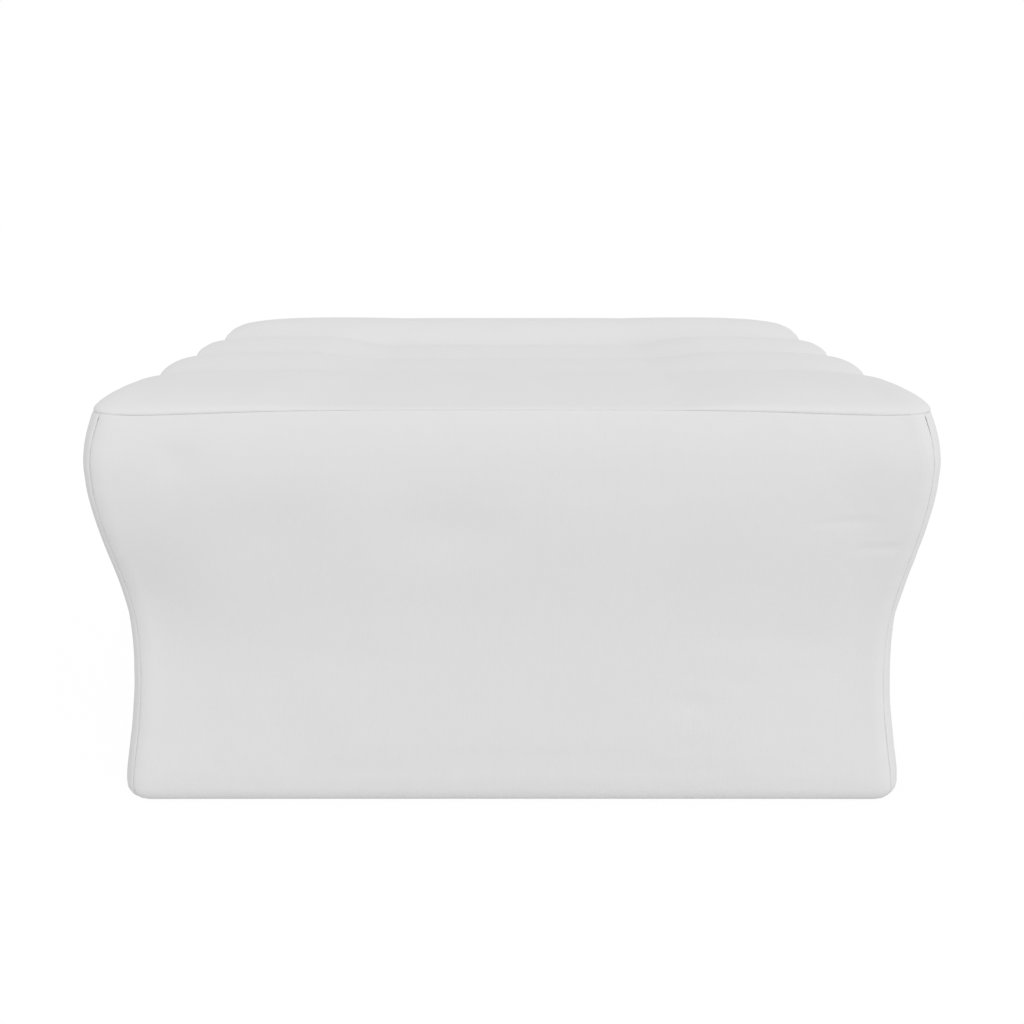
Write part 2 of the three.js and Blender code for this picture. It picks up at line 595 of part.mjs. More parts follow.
function addInside() {
  const padInset = SEAM_INSET + COVER + GAP + SEAM_ALLOWANCE - COVER + 1;
  const padHalf = [WIDTH / 2 - padInset, DEPTH / 2 - padInset];
  const padTop = (x, y) => topHeight(x, y, PAD_DEPTH);
  const padUnder = (x, y) => padTop(x, y) - PAD;
  const padXs = roundedStations(padHalf[0], END_ROUND, 3, DIP_STATIONS);
  const padEdge = roundedStations(padHalf[1], EDGE_ROUND, 3, []).filter((y) => y < 0);
  const padRolls = rollStations(-padHalf[1] + EDGE_ROUND, padHalf[1] - EDGE_ROUND, 4);
  const padYs = [...padEdge, ...padRolls, ...padEdge.map((y) => -y).reverse()];
  add("wadding_pad", topSheet(padXs, padYs, padHalf, BLADDER_CORNER, padTop, padUnder, 0), wadding);

  const xs = roundedStations(BLADDER_HALF_WIDTH, END_ROUND, 3, DIP_STATIONS);
  const front = roundedStations(BLADDER_FRONT, EDGE_ROUND, 3, []).filter((y) => y < 0);
  const back = roundedStations(BLADDER_BACK, EDGE_ROUND, 3, []).filter((y) => y > 0);
  const ys = [...front, ...rollStations(-BLADDER_FRONT + EDGE_ROUND, BLADDER_BACK - EDGE_ROUND, 4), ...back];
  const half = [BLADDER_HALF_WIDTH, BLADDER_FRONT];
  const below = (x, y) => bladderTop(x, y) - FILM;
  add("bladder_top", topSheet(xs, ys, half, BLADDER_CORNER, bladderTop, below, 0, BLADDER_FRONT, BLADDER_BACK), film);

  const baseHigh = BASE_FILM_LOW + FILM;
  const baseEdge = FLARE_INSET + BASE_FILM_INSET;
  add("bladder_base", plate(baseEdge, BLADDER_CORNER, BASE_FILM_LOW, baseHigh, BLADDER_BACK_ROOM), film);
  addBladderWall(baseHigh + GAP);
  addBaffles(baseHigh + GAP);
}

function addBladderWall(low) {
  const stations = sideStations(3, 6, BLADDER_CORNER);
  const high = SEAM_HEIGHT - BLADDER_TOP_DROP - FILM - GAP;
  const shares = [0.155, ...steps(BASE_END, WAIST_SHARE, 3), ...steps(WAIST_SHARE, BULGE_SHARE, 4).slice(1), 0.9];
  const loop = (share, offset, height) =>
    ["front", "right", "back", "left"].flatMap((name) =>
      stations.map((station) => {
        const at = wallPoint(SIDES[name], station, share, offset, BLADDER_CORNER);
        const y = at[1] - Math.max(0, smooth(at[1] / 60)) * BLADDER_BACK_ROOM;
        return [at[0], y, height ?? at[2]];
      }),
    );
  const start = COVER + BLADDER_EASE;
  const heights = shares.map((_, k) => (k === 0 ? low : k === shares.length - 1 ? high : null));
  const grid = (offset) => {
    const loops = shares.map((share, k) => loop(share, offset, heights[k]));
    return loops[0].map((_, i) => loops.map((points) => points[i]));
  };
  const wall = sheet(grid(start), grid(start + FILM), true);
  const hole = new THREE.CylinderGeometry(SEAT_OUTER + GAP, SEAT_OUTER + GAP, 40, 30);
  hole.rotateZ(-Math.PI / 2).translate(WIDTH / 2, VALVE_Y, WAIST_HEIGHT);
  add("bladder_wall", cut(wall, hole), film);
}

// I-beams of film: a web with a weld flange along its foot and another under the valley.
function addBaffles(foot) {
  VALLEYS.forEach((y, k) => {
    const sections = [-BAFFLE_HALF_LENGTH, ...DIP_STATIONS, BAFFLE_HALF_LENGTH].map((x) => {
      const head = bladderTop(x, y) - FILM - BAFFLE_EASE;
      const web = BAFFLE_WEB / 2;
      const flange = BAFFLE_FLANGE / 2;
      const outline = [
        [-flange, foot],
        [flange, foot],
        [flange, foot + FILM],
        [web, foot + FILM],
        [web, head - FILM],
        [flange, head - FILM],
        [flange, head],
        [-flange, head],
        [-flange, head - FILM],
        [-web, head - FILM],
        [-web, foot + FILM],
        [-flange, foot + FILM],
      ];
      return outline.map(([across, z]) => ({ at: [x, y + across, z], sectionPlane: [across, z] }));
    });
    add(`baffle_${["front", "middle", "back"][k]}`, loft(sections), film);
  });
}

// ---- Zip ----
const ZIP_FACE = DEPTH / 2 - WAIST_INSET; // the back wall's outer face at the waist
const TAPE_OUT = ZIP_FACE - COVER - GAP; // outer face of the tapes
const COIL_OUT = TAPE_OUT + GAP + ZIP_COIL_THICKNESS;
const STOP_INNER = ZIP_HALF_LENGTH - 2 - ZIP_STOP_LENGTH;
const SLIDER_REST = STOP_INNER - GAP - SLIDER_LENGTH / 2;

function addZip() {
  const z = WAIST_HEIGHT;
  const edge = ZIP_SPLIT / 2;
  const half = ZIP_HALF_LENGTH;
  for (const [name, sign] of [
    ["upper", 1],
    ["lower", -1],
  ]) {
    const span = (near, far) => (sign > 0 ? [z + near, z + far] : [z - far, z - near]);
    const [tapeLow, tapeHigh] = span(edge, edge + ZIP_TAPE_WIDTH);
    add(`zip_tape_${name}`, block([-half, TAPE_OUT - 1, tapeLow], [half, TAPE_OUT, tapeHigh]), tape);
    const [coilLow, coilHigh] = span(edge, edge + ZIP_COIL_WIDTH);
    const coilEnd = STOP_INNER - GAP;
    add(`zip_coil_${name}`, block([-coilEnd, TAPE_OUT + GAP, coilLow], [coilEnd, COIL_OUT, coilHigh]), nylon);
  }
  const reach = edge + ZIP_COIL_WIDTH;
  for (const [name, sign] of [
    ["closed_end", 1],
    ["open_end", -1],
  ]) {
    const xs = [sign * STOP_INNER, sign * (STOP_INNER + ZIP_STOP_LENGTH)].sort((a, b) => a - b);
    add(`zip_stop_${name}`, block([xs[0], TAPE_OUT + GAP, z - reach], [xs[1], COIL_OUT, z + reach]), nylon);
  }

  // Slider: two plates joined by a bridge that runs between the coils, with a bail over the outer plate.
  const x0 = SLIDER_REST - SLIDER_LENGTH / 2;
  const x1 = SLIDER_REST + SLIDER_LENGTH / 2;
  const plateLow = COIL_OUT + GAP;
  const plateHigh = plateLow + SLIDER_PLATE;
  const halfWidth = SLIDER_WIDTH / 2;
  const innerHigh = TAPE_OUT - 1 - GAP;
  const plateShape = new THREE.Shape();
  const nose = 2.5;
  plateShape.moveTo(x0 + nose, -halfWidth + 1);
  plateShape.lineTo(x1 - nose, -halfWidth);
  plateShape.lineTo(x1, -halfWidth + nose);
  plateShape.lineTo(x1, halfWidth - nose);
  plateShape.lineTo(x1 - nose, halfWidth);
  plateShape.lineTo(x0 + nose, halfWidth - 1);
  plateShape.lineTo(x0, halfWidth - nose - 1);
  plateShape.lineTo(x0, -halfWidth + nose + 1);
  const plateAt = (low, high) =>
    new THREE.ExtrudeGeometry(plateShape, { depth: high - low, bevelEnabled: false })
      .rotateX(Math.PI / 2)
      .translate(0, high, z);
  const bridge = block([x0 + 2, innerHigh - 0.5, z - SLIDER_BRIDGE / 2], [x0 + 6, plateLow + 0.5, z + SLIDER_BRIDGE / 2]);
  const bailLow = SLIDER_REST - 4;
  const bailHigh = SLIDER_REST + 4;
  const bailTop = plateHigh + BAIL_HEIGHT;
  const bailHalf = BAIL_WIDTH / 2;
  const legs = [bailLow, bailHigh - BAIL_THICKNESS].map((x) =>
    block([x, plateHigh - 0.3, z - bailHalf], [x + BAIL_THICKNESS, bailTop, z + bailHalf]),
  );
  const bar = block([bailLow, bailTop - BAIL_THICKNESS, z - bailHalf], [bailHigh, bailTop, z + bailHalf]);
  const inner = plateAt(innerHigh - SLIDER_PLATE, innerHigh);
  add("zip_slider", join(plateAt(plateLow, plateHigh), inner, bridge, ...legs, bar), dieCast);

  // Pull: a tab with two arms that hold a pin under the bail.
  const pinY = plateHigh + GAP + PULL_PIN_RADIUS + 0.2;
  const pinX = SLIDER_REST;
  const arm = 1.4;
  const armIn = bailHalf + 0.4;
  const pin = new THREE.CylinderGeometry(PULL_PIN_RADIUS, PULL_PIN_RADIUS, 2 * (armIn + arm), 12);
  pin.rotateX(Math.PI / 2).translate(pinX, pinY, z);
  const tabStart = pinX - 7;
  const low = pinY - PULL_THICKNESS / 2;
  const high = pinY + PULL_THICKNESS / 2;
  const arms = [1, -1].map((sign) => {
    const zs = [sign * armIn, sign * (armIn + arm)].sort((a, b) => a - b);
    return block([tabStart - 1, low, z + zs[0]], [pinX + PULL_PIN_RADIUS, high, z + zs[1]]);
  });
  const tab = new THREE.Shape();
  const tabHalf = PULL_WIDTH / 2;
  const tabEnd = pinX - PULL_LENGTH;
  tab.moveTo(tabStart, -tabHalf);
  tab.lineTo(tabStart, tabHalf);
  tab.lineTo(tabEnd + tabHalf, tabHalf);
  tab.absarc(tabEnd + tabHalf, 0, tabHalf, Math.PI / 2, 1.5 * Math.PI);
  const plateTab = new THREE.ExtrudeGeometry(tab, { depth: PULL_THICKNESS, bevelEnabled: false, curveSegments: 8 });
  plateTab.rotateX(Math.PI / 2).translate(0, high, z);
  add("zip_pull", join(pin, ...arms, plateTab), dieCast);
  return { pinX, pinY };
}

// ---- Valve ----
// Turned pieces are drawn as [radius, out] pairs, out being the distance beyond the cover's face along +X.
const endWaistInset = (y) => lerp(WAIST_INSET_MIDDLE, WAIST_INSET, cornerPull(DEPTH / 2 - y - CORNER_RADIUS));
const VALVE_FACE = WIDTH / 2 - endWaistInset(VALVE_Y);

// The flat weld flange lies behind the film, which curves in towards the corner.
const weldSag = endWaistInset(VALVE_Y + WELD_FLANGE_OUTER) - endWaistInset(VALVE_Y);
const WELD_FLANGE_BACK = COVER + BLADDER_EASE + FILM + 2 * GAP + weldSag;

function turned(points, segments = 30) {
  const geometry = new THREE.LatheGeometry(points.map(([r, out]) => new THREE.Vector2(r, out)), segments);
  return geometry.rotateZ(-Math.PI / 2).translate(VALVE_FACE, VALVE_Y, WAIST_HEIGHT);
}

const ringProfile = (r0, r1, low, high) => [
  [r0, low],
  [r1, low],
  [r1, high],
  [r0, high],
  [r0, low],
];

const valveBlock = (out, y, z) =>
  block([VALVE_FACE + out[0], VALVE_Y + y[0], WAIST_HEIGHT + z[0]], [VALVE_FACE + out[1], VALVE_Y + y[1], WAIST_HEIGHT + z[1]]);

// A round bar on a hinge axis: dir "y" or "z".
function hingeBar(radius, half, out, across, dir, segments = 16) {
  const bar = new THREE.CylinderGeometry(radius, radius, 2 * half, segments);
  if (dir === "z") {
    bar.rotateX(Math.PI / 2);
    return bar.translate(VALVE_FACE + out, VALVE_Y + across, WAIST_HEIGHT);
  }
  return bar.translate(VALVE_FACE + out, VALVE_Y, WAIST_HEIGHT + across);
}

function addValve() {
  add("valve_port_binding", turned(ringProfile(PORT_BINDING_INNER, VALVE_PORT_RADIUS - GAP, -PORT_BINDING_INWARD, PORT_BINDING_OUTWARD)), tape);
  const flangeLow = -WELD_FLANGE_BACK - WELD_FLANGE;
  const flange = ringProfile(SEAT_OUTER + GAP, WELD_FLANGE_OUTER, flangeLow, -WELD_FLANGE_BACK);
  add("valve_weld_flange", turned(flange), film);

  // Seat: a neck with a lip and an ear that cradles the ring's hinge barrel.
  const lipHigh = 0.6;
  const headLow = lipHigh + GAP;
  const headHigh = headLow + RING_HEAD;
  const seatBody = turned([
    [SEAT_INNER, -SEAT_DEPTH],
    [SEAT_OUTER, -SEAT_DEPTH],
    [SEAT_OUTER, -0.6],
    [SEAT_LIP, -0.6],
    [SEAT_LIP, lipHigh],
    [SEAT_INNER, lipHigh],
    [SEAT_INNER, -SEAT_DEPTH],
  ]);
  const ringHinge = { out: 2.6, across: -RING_HINGE_OUT };
  const earLow = 0.9;
  const ear = valveBlock([earLow, ringHinge.out], [-5, 5], [-RING_HINGE_OUT - 2.4, -RING_HINGE_OUT + 2.2]);
  const stalk = valveBlock([-0.2, earLow + 0.4], [-4, 4], [-SEAT_LIP, -SEAT_LIP + 1.4]);
  const cradle = hingeBar(BARREL_RADIUS + GAP, 6, ringHinge.out, ringHinge.across, "y", 20);
  const tongueLow = headHigh - 1;
  const tongueRoom = valveBlock([tongueLow - GAP, headHigh + 1], [-4 - GAP, 4 + GAP], [-RING_HINGE_OUT, -SEAT_OUTER]);
  add("valve_seat", cut(join(seatBody, ear, stalk), cradle, tongueRoom), moulding);

  // Release ring: a plug in the seat, with a head, an inner spider, a thumb tab and a barrel on a tongue.
  const plugLow = lipHigh - PLUG_DEPTH;
  const ringBody = turned([
    [PORT_RADIUS, plugLow],
    [SEAT_INNER - PLUG_CLEARANCE, plugLow],
    [SEAT_INNER - PLUG_CLEARANCE, headLow],
    [RING_HEAD_RADIUS, headLow],
    [RING_HEAD_RADIUS, headHigh],
    [PORT_RADIUS, headHigh],
    [PORT_RADIUS, plugLow],
  ]);
  const hub = turned(ringProfile(FLAP_STEM_RADIUS + GAP, SPIDER_HUB, plugLow, plugLow + SPIDER), 18);
  const spokes = [0, 1, 2].map((k) => {
    const spoke = new THREE.BoxGeometry(SPIDER, PORT_RADIUS - SPIDER_HUB + 1.2, 1);
    spoke.translate(0, (PORT_RADIUS + SPIDER_HUB) / 2, 0).rotateX((k * 2 * Math.PI) / 3);
    return spoke.translate(VALVE_FACE + plugLow + SPIDER / 2, VALVE_Y, WAIST_HEIGHT);
  });
  const notch = valveBlock([-9, ringHinge.out + 4], [-5.6, 5.6], [-RING_HEAD_RADIUS - 2, -RING_HINGE_OUT + 2.8]);
  const tongue = valveBlock([tongueLow, headHigh], [-4, 4], [-RING_HINGE_OUT, -RING_HEAD_RADIUS + 2.5]);
  const barrel = hingeBar(BARREL_RADIUS, 4, ringHinge.out, ringHinge.across, "y");
  const thumb = valveBlock([headHigh - 1.2, headHigh], [-5, 5], [RING_HEAD_RADIUS - 1, RING_HEAD_RADIUS + THUMB_TAB]);
  const capHinge = { out: headHigh + 1.4, across: -CAP_HINGE_OUT };
  const capEar = valveBlock([headHigh - 0.4, capHinge.out], [-CAP_HINGE_OUT - 2, -CAP_HINGE_OUT + 1.7], [-4, 4]);
  const capCradle = hingeBar(BARREL_RADIUS + GAP, 5, capHinge.out, capHinge.across, "z", 20);
  const ring = join(cut(ringBody, notch), hub, ...spokes, tongue, barrel, thumb, capEar);
  const capLow = headHigh + GAP;
  const capHigh = capLow + CAP_HEAD;
  const capTongueLow = capHigh - 0.9;
  const capRoomHigh = capHigh + 1;
  const capTongueRoom = valveBlock([capTongueLow - GAP, capRoomHigh], [-CAP_HINGE_OUT, -CAP_HEAD_RADIUS], [-3.5, 3.5]);
  add("valve_release_ring", cut(ring, capCradle, capTongueRoom), moulding);

  // Flap: a silicone disc under the plug, on a stem through the spider with a bulb that holds it.
  const flapHigh = plugLow - GAP;
  const bulbLow = plugLow + SPIDER + GAP + FLAP_LIFT;
  add(
    "valve_flap",
    turned(
      [
        [0, flapHigh - FLAP],
        [FLAP_RADIUS, flapHigh - FLAP],
        [FLAP_RADIUS, flapHigh],
        [FLAP_STEM_RADIUS, flapHigh],
        [FLAP_STEM_RADIUS, bulbLow],
        [1.3, bulbLow],
        [1.1, bulbLow + 0.7],
        [0, bulbLow + 0.9],
      ],
      24,
    ),
    silicone,
  );

  // Cap: a head with a plug in the ring's port, a tab and a barrel on a tongue.
  const capBody = turned([
    [0, headHigh - CAP_PLUG_DEPTH],
    [PORT_RADIUS - CAP_PLUG_CLEARANCE, headHigh - CAP_PLUG_DEPTH],
    [PORT_RADIUS - CAP_PLUG_CLEARANCE, capLow],
    [CAP_HEAD_RADIUS - 0.6, capLow],
    [CAP_HEAD_RADIUS, capLow + 0.6],
    [CAP_HEAD_RADIUS, capHigh - 0.5],
    [CAP_HEAD_RADIUS - 0.5, capHigh],
    [0, capHigh],
  ]);
  const capNotch = valveBlock([-2, capHigh + 3], [-CAP_HEAD_RADIUS - 2, -CAP_HINGE_OUT + 2.3], [-4.6, 4.6]);
  const capTongue = valveBlock([capTongueLow, capHigh], [-CAP_HINGE_OUT, -CAP_HEAD_RADIUS + 1.5], [-3.2, 3.2]);
  const capBarrel = hingeBar(BARREL_RADIUS, 3.2, capHinge.out, capHinge.across, "z");
  const capTab = valveBlock([capHigh - 1.2, capHigh], [CAP_HEAD_RADIUS - 1, CAP_HEAD_RADIUS + 3], [-3.5, 3.5]);
  add("valve_cap", join(cut(capBody, capNotch), capTongue, capBarrel, capTab), moulding);
  return { ringHinge, capHinge };
}

addCover();
addBindings();
addInside();
addZip();
addValve();

export default pillow;
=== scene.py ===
import math
import bmesh
import bpy
import numpy as np
from mathutils import Matrix, Vector


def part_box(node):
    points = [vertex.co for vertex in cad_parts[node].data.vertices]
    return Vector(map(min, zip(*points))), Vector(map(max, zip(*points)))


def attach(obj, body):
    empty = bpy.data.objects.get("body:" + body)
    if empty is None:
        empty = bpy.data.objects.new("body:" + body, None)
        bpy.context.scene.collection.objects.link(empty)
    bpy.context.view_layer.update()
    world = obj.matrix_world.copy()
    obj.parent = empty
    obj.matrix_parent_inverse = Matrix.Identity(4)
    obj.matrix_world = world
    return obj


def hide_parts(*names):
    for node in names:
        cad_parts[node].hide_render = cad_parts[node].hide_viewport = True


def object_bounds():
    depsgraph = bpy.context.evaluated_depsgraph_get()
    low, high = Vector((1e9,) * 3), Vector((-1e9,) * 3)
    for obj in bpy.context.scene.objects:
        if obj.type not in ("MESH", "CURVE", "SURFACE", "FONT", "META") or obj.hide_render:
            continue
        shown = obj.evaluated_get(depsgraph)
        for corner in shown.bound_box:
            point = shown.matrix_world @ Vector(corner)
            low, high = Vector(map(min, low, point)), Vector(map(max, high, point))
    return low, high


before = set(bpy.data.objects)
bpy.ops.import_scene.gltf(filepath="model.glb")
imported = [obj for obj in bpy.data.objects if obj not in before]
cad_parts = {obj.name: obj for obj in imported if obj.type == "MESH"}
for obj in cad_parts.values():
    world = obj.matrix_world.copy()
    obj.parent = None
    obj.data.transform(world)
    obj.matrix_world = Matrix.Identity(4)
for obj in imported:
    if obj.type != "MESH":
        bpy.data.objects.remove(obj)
cad_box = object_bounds()

# ---- Camera, light and floor ----
# The pillow stands on a white studio sweep inside a white tent, which lights it from all round. A large soft
# lamp over the camera's right shoulder adds the direction that shows the rolls, the waist and the seams.


def add_object(name, data):
    """An object that holds the data, put in the scene."""
    made = bpy.data.objects.new(name, data)
    bpy.context.scene.collection.objects.link(made)
    return made


camera_place = Vector((0, -0.5962, 0.2717))
camera_target = Vector((0, -0.0073, 0.0954))
camera_data = bpy.data.cameras.new("studio_camera")
camera_data.lens = 35
camera_data.sensor_width = 32
camera_data.clip_start = 0.01
camera = add_object("studio_camera", camera_data)
camera.location = camera_place
camera.rotation_euler = (camera_target - camera_place).to_track_quat("-Z", "Y").to_euler()
bpy.context.scene.camera = camera
bpy.context.scene.view_settings.view_transform = "Standard"


def linear(colour):
    """A colour given as sRGB hex, as the linear values that a shader takes."""
    channels = [int(colour[k : k + 2], 16) / 255 for k in (1, 3, 5)]
    return [c / 12.92 if c <= 0.04045 else ((c + 0.055) / 1.055) ** 2.4 for c in channels] + [1]


def add_node(owner, kind, settings=None, links=None, **values):
    """A node of a material or world: its settings, its links as {socket: output}, and its sockets' values."""
    node = owner.node_tree.nodes.new("ShaderNode" + kind)
    for key, value in (settings or {}).items():
        setattr(node, key, value)
    for key, value in values.items():
        node.inputs[key.replace("_", " ")].default_value = value
    for key, output in (links or {}).items():
        owner.node_tree.links.new(output, node.inputs[key])
    return node


def show_camera(owner, output, lit, shown, share):
    """Lets the camera see one shader in place of the other, by a share, while the light meets the other."""
    rays = add_node(owner, "LightPath")
    amount = add_node(owner, "Math", {"operation": "MULTIPLY"}, {0: rays.outputs["Is Camera Ray"]})
    amount.inputs[1].default_value = share
    mix = add_node(owner, "MixShader", {}, {0: amount.outputs[0], 1: lit.outputs[0], 2: shown.outputs[0]})
    owner.node_tree.links.new(mix.outputs[0], owner.node_tree.nodes[output].inputs["Surface"])


# The tent's cloth lights the pillow with less than the white that the camera sees behind it.
tent = bpy.data.worlds.new("white_tent")
tent.use_nodes = True
tent_light = tent.node_tree.nodes["Background"]
tent_light.inputs["Color"].default_value = linear("#ffffff")
tent_light.inputs["Strength"].default_value = 0.872
backdrop = add_node(tent, "Background", Color=linear("#ffffff"), Strength=1.0)
show_camera(tent, "World Output", tent_light, backdrop, 1.0)
bpy.context.scene.world = tent

lamp_data = bpy.data.lights.new("soft_lamp", "SUN")
lamp_data.energy = 0.97
lamp_data.angle = math.radians(50)
soft_lamp = add_object("soft_lamp", lamp_data)
soft_lamp.rotation_euler = Vector((-0.46, 0.84, -0.28)).to_track_quat("-Z", "Y").to_euler()


def new_material(name, colour, roughness, **values):
    """A material with its colour, its roughness and the other values of its shader."""
    material = bpy.data.materials.new(name)
    material.use_nodes = True
    sockets = material.node_tree.nodes["Principled BSDF"].inputs
    sockets["Base Color"].default_value = linear(colour)
    sockets["Roughness"].default_value = roughness
    for key, value in values.items():
        sockets[key.replace("_", " ")].default_value = value
    return material


floor_mesh = bpy.data.meshes.new("floor")
sweep = bmesh.new()
bmesh.ops.create_circle(sweep, cap_ends=True, segments=96, radius=6)
sweep.to_mesh(floor_mesh)
sweep.free()
floor = add_object("floor", floor_mesh)
floor.location = (0, 0, -0.0003)
# The sweep is lit so evenly that it looks as white as the tent, and only the contact with the pillow dims it.
floor_paint = new_material("matt white studio floor paint", "#d2d2d2", 0.9)
floor_glow = add_node(floor_paint, "Emission", Color=linear("#ffffff"), Strength=1.03)
show_camera(
    floor_paint, "Material Output", floor_paint.node_tree.nodes["Principled BSDF"], floor_glow, 0.93
)
floor_mesh.materials.append(floor_paint)

# ---- Cover: the walls ----
# A bag of brushed polyester knit, sewn from seven panels and stretched over the bladder. Each wall bulges
# under the top seam and draws in at the waist, most of all near the corner seams, which hold it in.
MM = 0.001
half_width = cad_box[1].x
half_depth = cad_box[1].y
corner_radius = 12 * MM
flare_height, flare_inset, base_turn = 5 * MM, 1.8 * MM, 3.6 * MM
waist_height, waist_inset, waist_inset_middle = 73 * MM, 9.3 * MM, 5.2 * MM
bulge_height, seam_height = 154 * MM, 177.8 * MM
seam_inset, seam_rise = 4.85 * MM, 2.5 * MM
corner_reach = 60 * MM
base_share, waist_share, bulge_share = 0.2, 0.5, 0.8
# A corner seam lies a little to the front or back of its corner: the end panels reach round it.
seam_turn_long, seam_turn_end = math.radians(34), math.radians(56)
top_half_x, top_half_y = half_width - seam_inset, half_depth - seam_inset
roll_widths = np.array([92, 66, 66, 66])
roll_edges = -top_half_y + 2 * top_half_y * np.concatenate([[0], np.cumsum(roll_widths)]) / roll_widths.sum()


def bell(t):
    """A bump of height 1 round 0, which has sunk to about a third at 1."""
    return np.exp(-(t**2))


def eased(t):
    """A share that leaves 0 and comes to 1 without a kink."""
    t = np.clip(t, 0, 1)
    return t * t * (3 - 2 * t)


def unit(vectors):
    """The vectors' directions, each 1 long."""
    return vectors / np.maximum(np.linalg.norm(vectors, axis=-1, keepdims=True), 1e-12)


def lengths_along(line):
    """How far each point of a line lies from the first, along it."""
    return np.concatenate([[0], np.cumsum(np.linalg.norm(np.diff(line, axis=0), axis=1))])


def corner_pull(distance):
    """How firmly the corner seam holds the cloth at a distance from it."""
    return bell(np.maximum(0, distance) / corner_reach)


def wall_profile(share, waist, top):
    """How far the wall lies inside its widest line, and its height, from base seam (0) to top seam (1)."""
    turn = np.clip(share / base_share, 0, 1) * math.pi / 2
    lower = np.clip((share - base_share) / (waist_share - base_share), 0, 1)
    upper = np.clip((share - waist_share) / (bulge_share - waist_share), 0, 1)
    brow = np.clip((share - bulge_share) / (1 - bulge_share), 0, 1)
    stretch = [share <= base_share, share <= waist_share, share <= bulge_share]
    inset = np.select(
        stretch,
        [
            flare_inset + base_turn * (1 - np.sin(turn)),
            flare_inset + (waist - flare_inset) * np.sin(lower * math.pi / 2),
            waist * (1 + np.cos(upper * math.pi)) / 2,
        ],
        seam_inset * brow**2,
    )
    height = np.select(
        stretch,
        [
            flare_height * (1 - np.cos(turn)),
            flare_height + (waist_height - flare_height) * lower,
            waist_height + (bulge_height - waist_height) * upper,
        ],
        bulge_height + (top - bulge_height) * brow,
    )
    return inset, height


# A side's axes: along it, seen from outside from left to right, and out of it.
sides = {
    "front": ((1, 0), (0, -1), half_width, half_depth, waist_inset_middle, seam_turn_long, 1),
    "right": ((0, 1), (1, 0), half_depth, half_width, waist_inset_middle, seam_turn_end, 0),
    "back": ((-1, 0), (0, 1), half_width, half_depth, waist_inset, seam_turn_long, 1),
    "left": ((0, -1), (-1, 0), half_depth, half_width, waist_inset_middle, seam_turn_end, 0),
}


def wall_points(side, along, share, corner_radius=corner_radius):
    """Points of a side at distances along it from its middle, and shares of its profile."""
    (ax, ay), (ox, oy), half, reach, middle, _, rises = sides[side]
    along, share = along[:, None], share[None, :]
    straight = half - corner_radius - seam_inset
    run = np.clip(along / straight, -1, 1)
    turn = np.maximum(0, np.abs(along) - straight) / corner_radius
    corner_inset, _ = wall_profile(share, waist_inset, seam_height)
    corner = half - corner_inset - corner_radius
    distance = half - (np.abs(run) * corner + corner_radius * np.sin(turn)) - corner_radius
    pull = corner_pull(distance)
    waist = middle + (waist_inset - middle) * pull
    inset, height = wall_profile(share, waist, seam_height + rises * seam_rise * (1 - pull))
    bend = corner_radius + corner_inset - inset
    across = run * corner + np.sign(run) * bend * np.sin(turn)
    out = reach - corner_inset - corner_radius + bend * np.cos(turn)
    return np.stack([ax * across + ox * out, ay * across + oy * out, height], -1)


# The walls turn under over their lowest stretch, by a share of the base's own turn.
foot_height, foot_share = 16 * MM, 0.55
# The front left corner's waist gives more than the rest: its middle, its reach, and how far in X and Y.
slack_middle, slack_reach, slack_give = (-168, -142, 90), (27, 30, 30), (-1.5, 5.2)
# The three baffles draw the end seams in and down, within a reach of each valley.
drawn_in, drawn_down, drawn_reach = (1.2, 2.2, 1.2), (2.0, 3.0, 1.5), 13 * MM
# The front roll's ends stand proud by this.
proud = 1.3 * MM


def pull_ends(points):
    """The cloth or film where the seams, the baffles and the bladder's corners have drawn it."""
    x, y, z = points[..., 0], points[..., 1], points[..., 2]
    foot = np.clip(z / flare_height, 0, 1)
    turn_under = (1 - np.clip(z / foot_height, 0, 1)) ** 2 - 1 + np.sqrt(1 - (1 - foot) ** 2)
    tuck = foot_share * base_turn * np.maximum(0, turn_under)
    slack = 1
    for place, middle, reach in zip((x, y, z), slack_middle, slack_reach):
        slack = slack * bell((place - middle * MM) / (reach * MM))
    x = x * (1 - tuck / half_width) + slack_give[0] * MM * slack
    y = y * (1 - tuck / half_depth) + slack_give[1] * MM * slack
    near_end = np.clip((np.abs(x) - (half_width - 45 * MM)) / (30 * MM), 0, 1) ** 2
    near_seam = np.clip((z - (bulge_height - 4 * MM)) / (20 * MM), 0, 1)
    near_baffle = [bell((y - edge + 4 * MM) / drawn_reach) for edge in roll_edges[1:4]]
    inward = sum(pull * MM * near for pull, near in zip(drawn_in, near_baffle))
    down = sum(pull * MM * near for pull, near in zip(drawn_down, near_baffle))
    front = bell((y + half_depth - 30 * MM) / (30 * MM))
    shoulder = bell((np.abs(x) - (half_width - 12 * MM)) / (9 * MM))
    lift = proud * front * shoulder * np.clip((z - seam_height + 6 * MM) / (6 * MM), 0, 1)
    weight = near_end * near_seam
    return np.stack([x - np.sign(x) * inward * weight, y, z - down * weight + lift], -1)


def resample(values, places, axis):
    """Values of a grid at fractional places along one of its axes."""
    low = np.minimum(places.astype(int), values.shape[axis] - 2)
    share = (places - low).reshape([-1 if k == axis else 1 for k in range(values.ndim)])
    return np.take(values, low, axis) * (1 - share) + np.take(values, low + 1, axis) * share


def grid_faces(columns, rows):
    """The four corners of each face of a grid, by its points' numbers."""
    i, j = np.meshgrid(np.arange(columns - 1), np.arange(rows - 1), indexing="ij")
    a = (i * rows + j).ravel()
    return np.stack([a, a + rows, a + rows + 1, a + 1], -1)


# The settling works on a coarser panel, for so many frames. Only folds up to a limit are kept, and they fade
# out at the seams.
settle_step, settle_frames, fold_limit, fold_fade = 5.5 * MM, 20, 0.45 * MM, 22 * MM


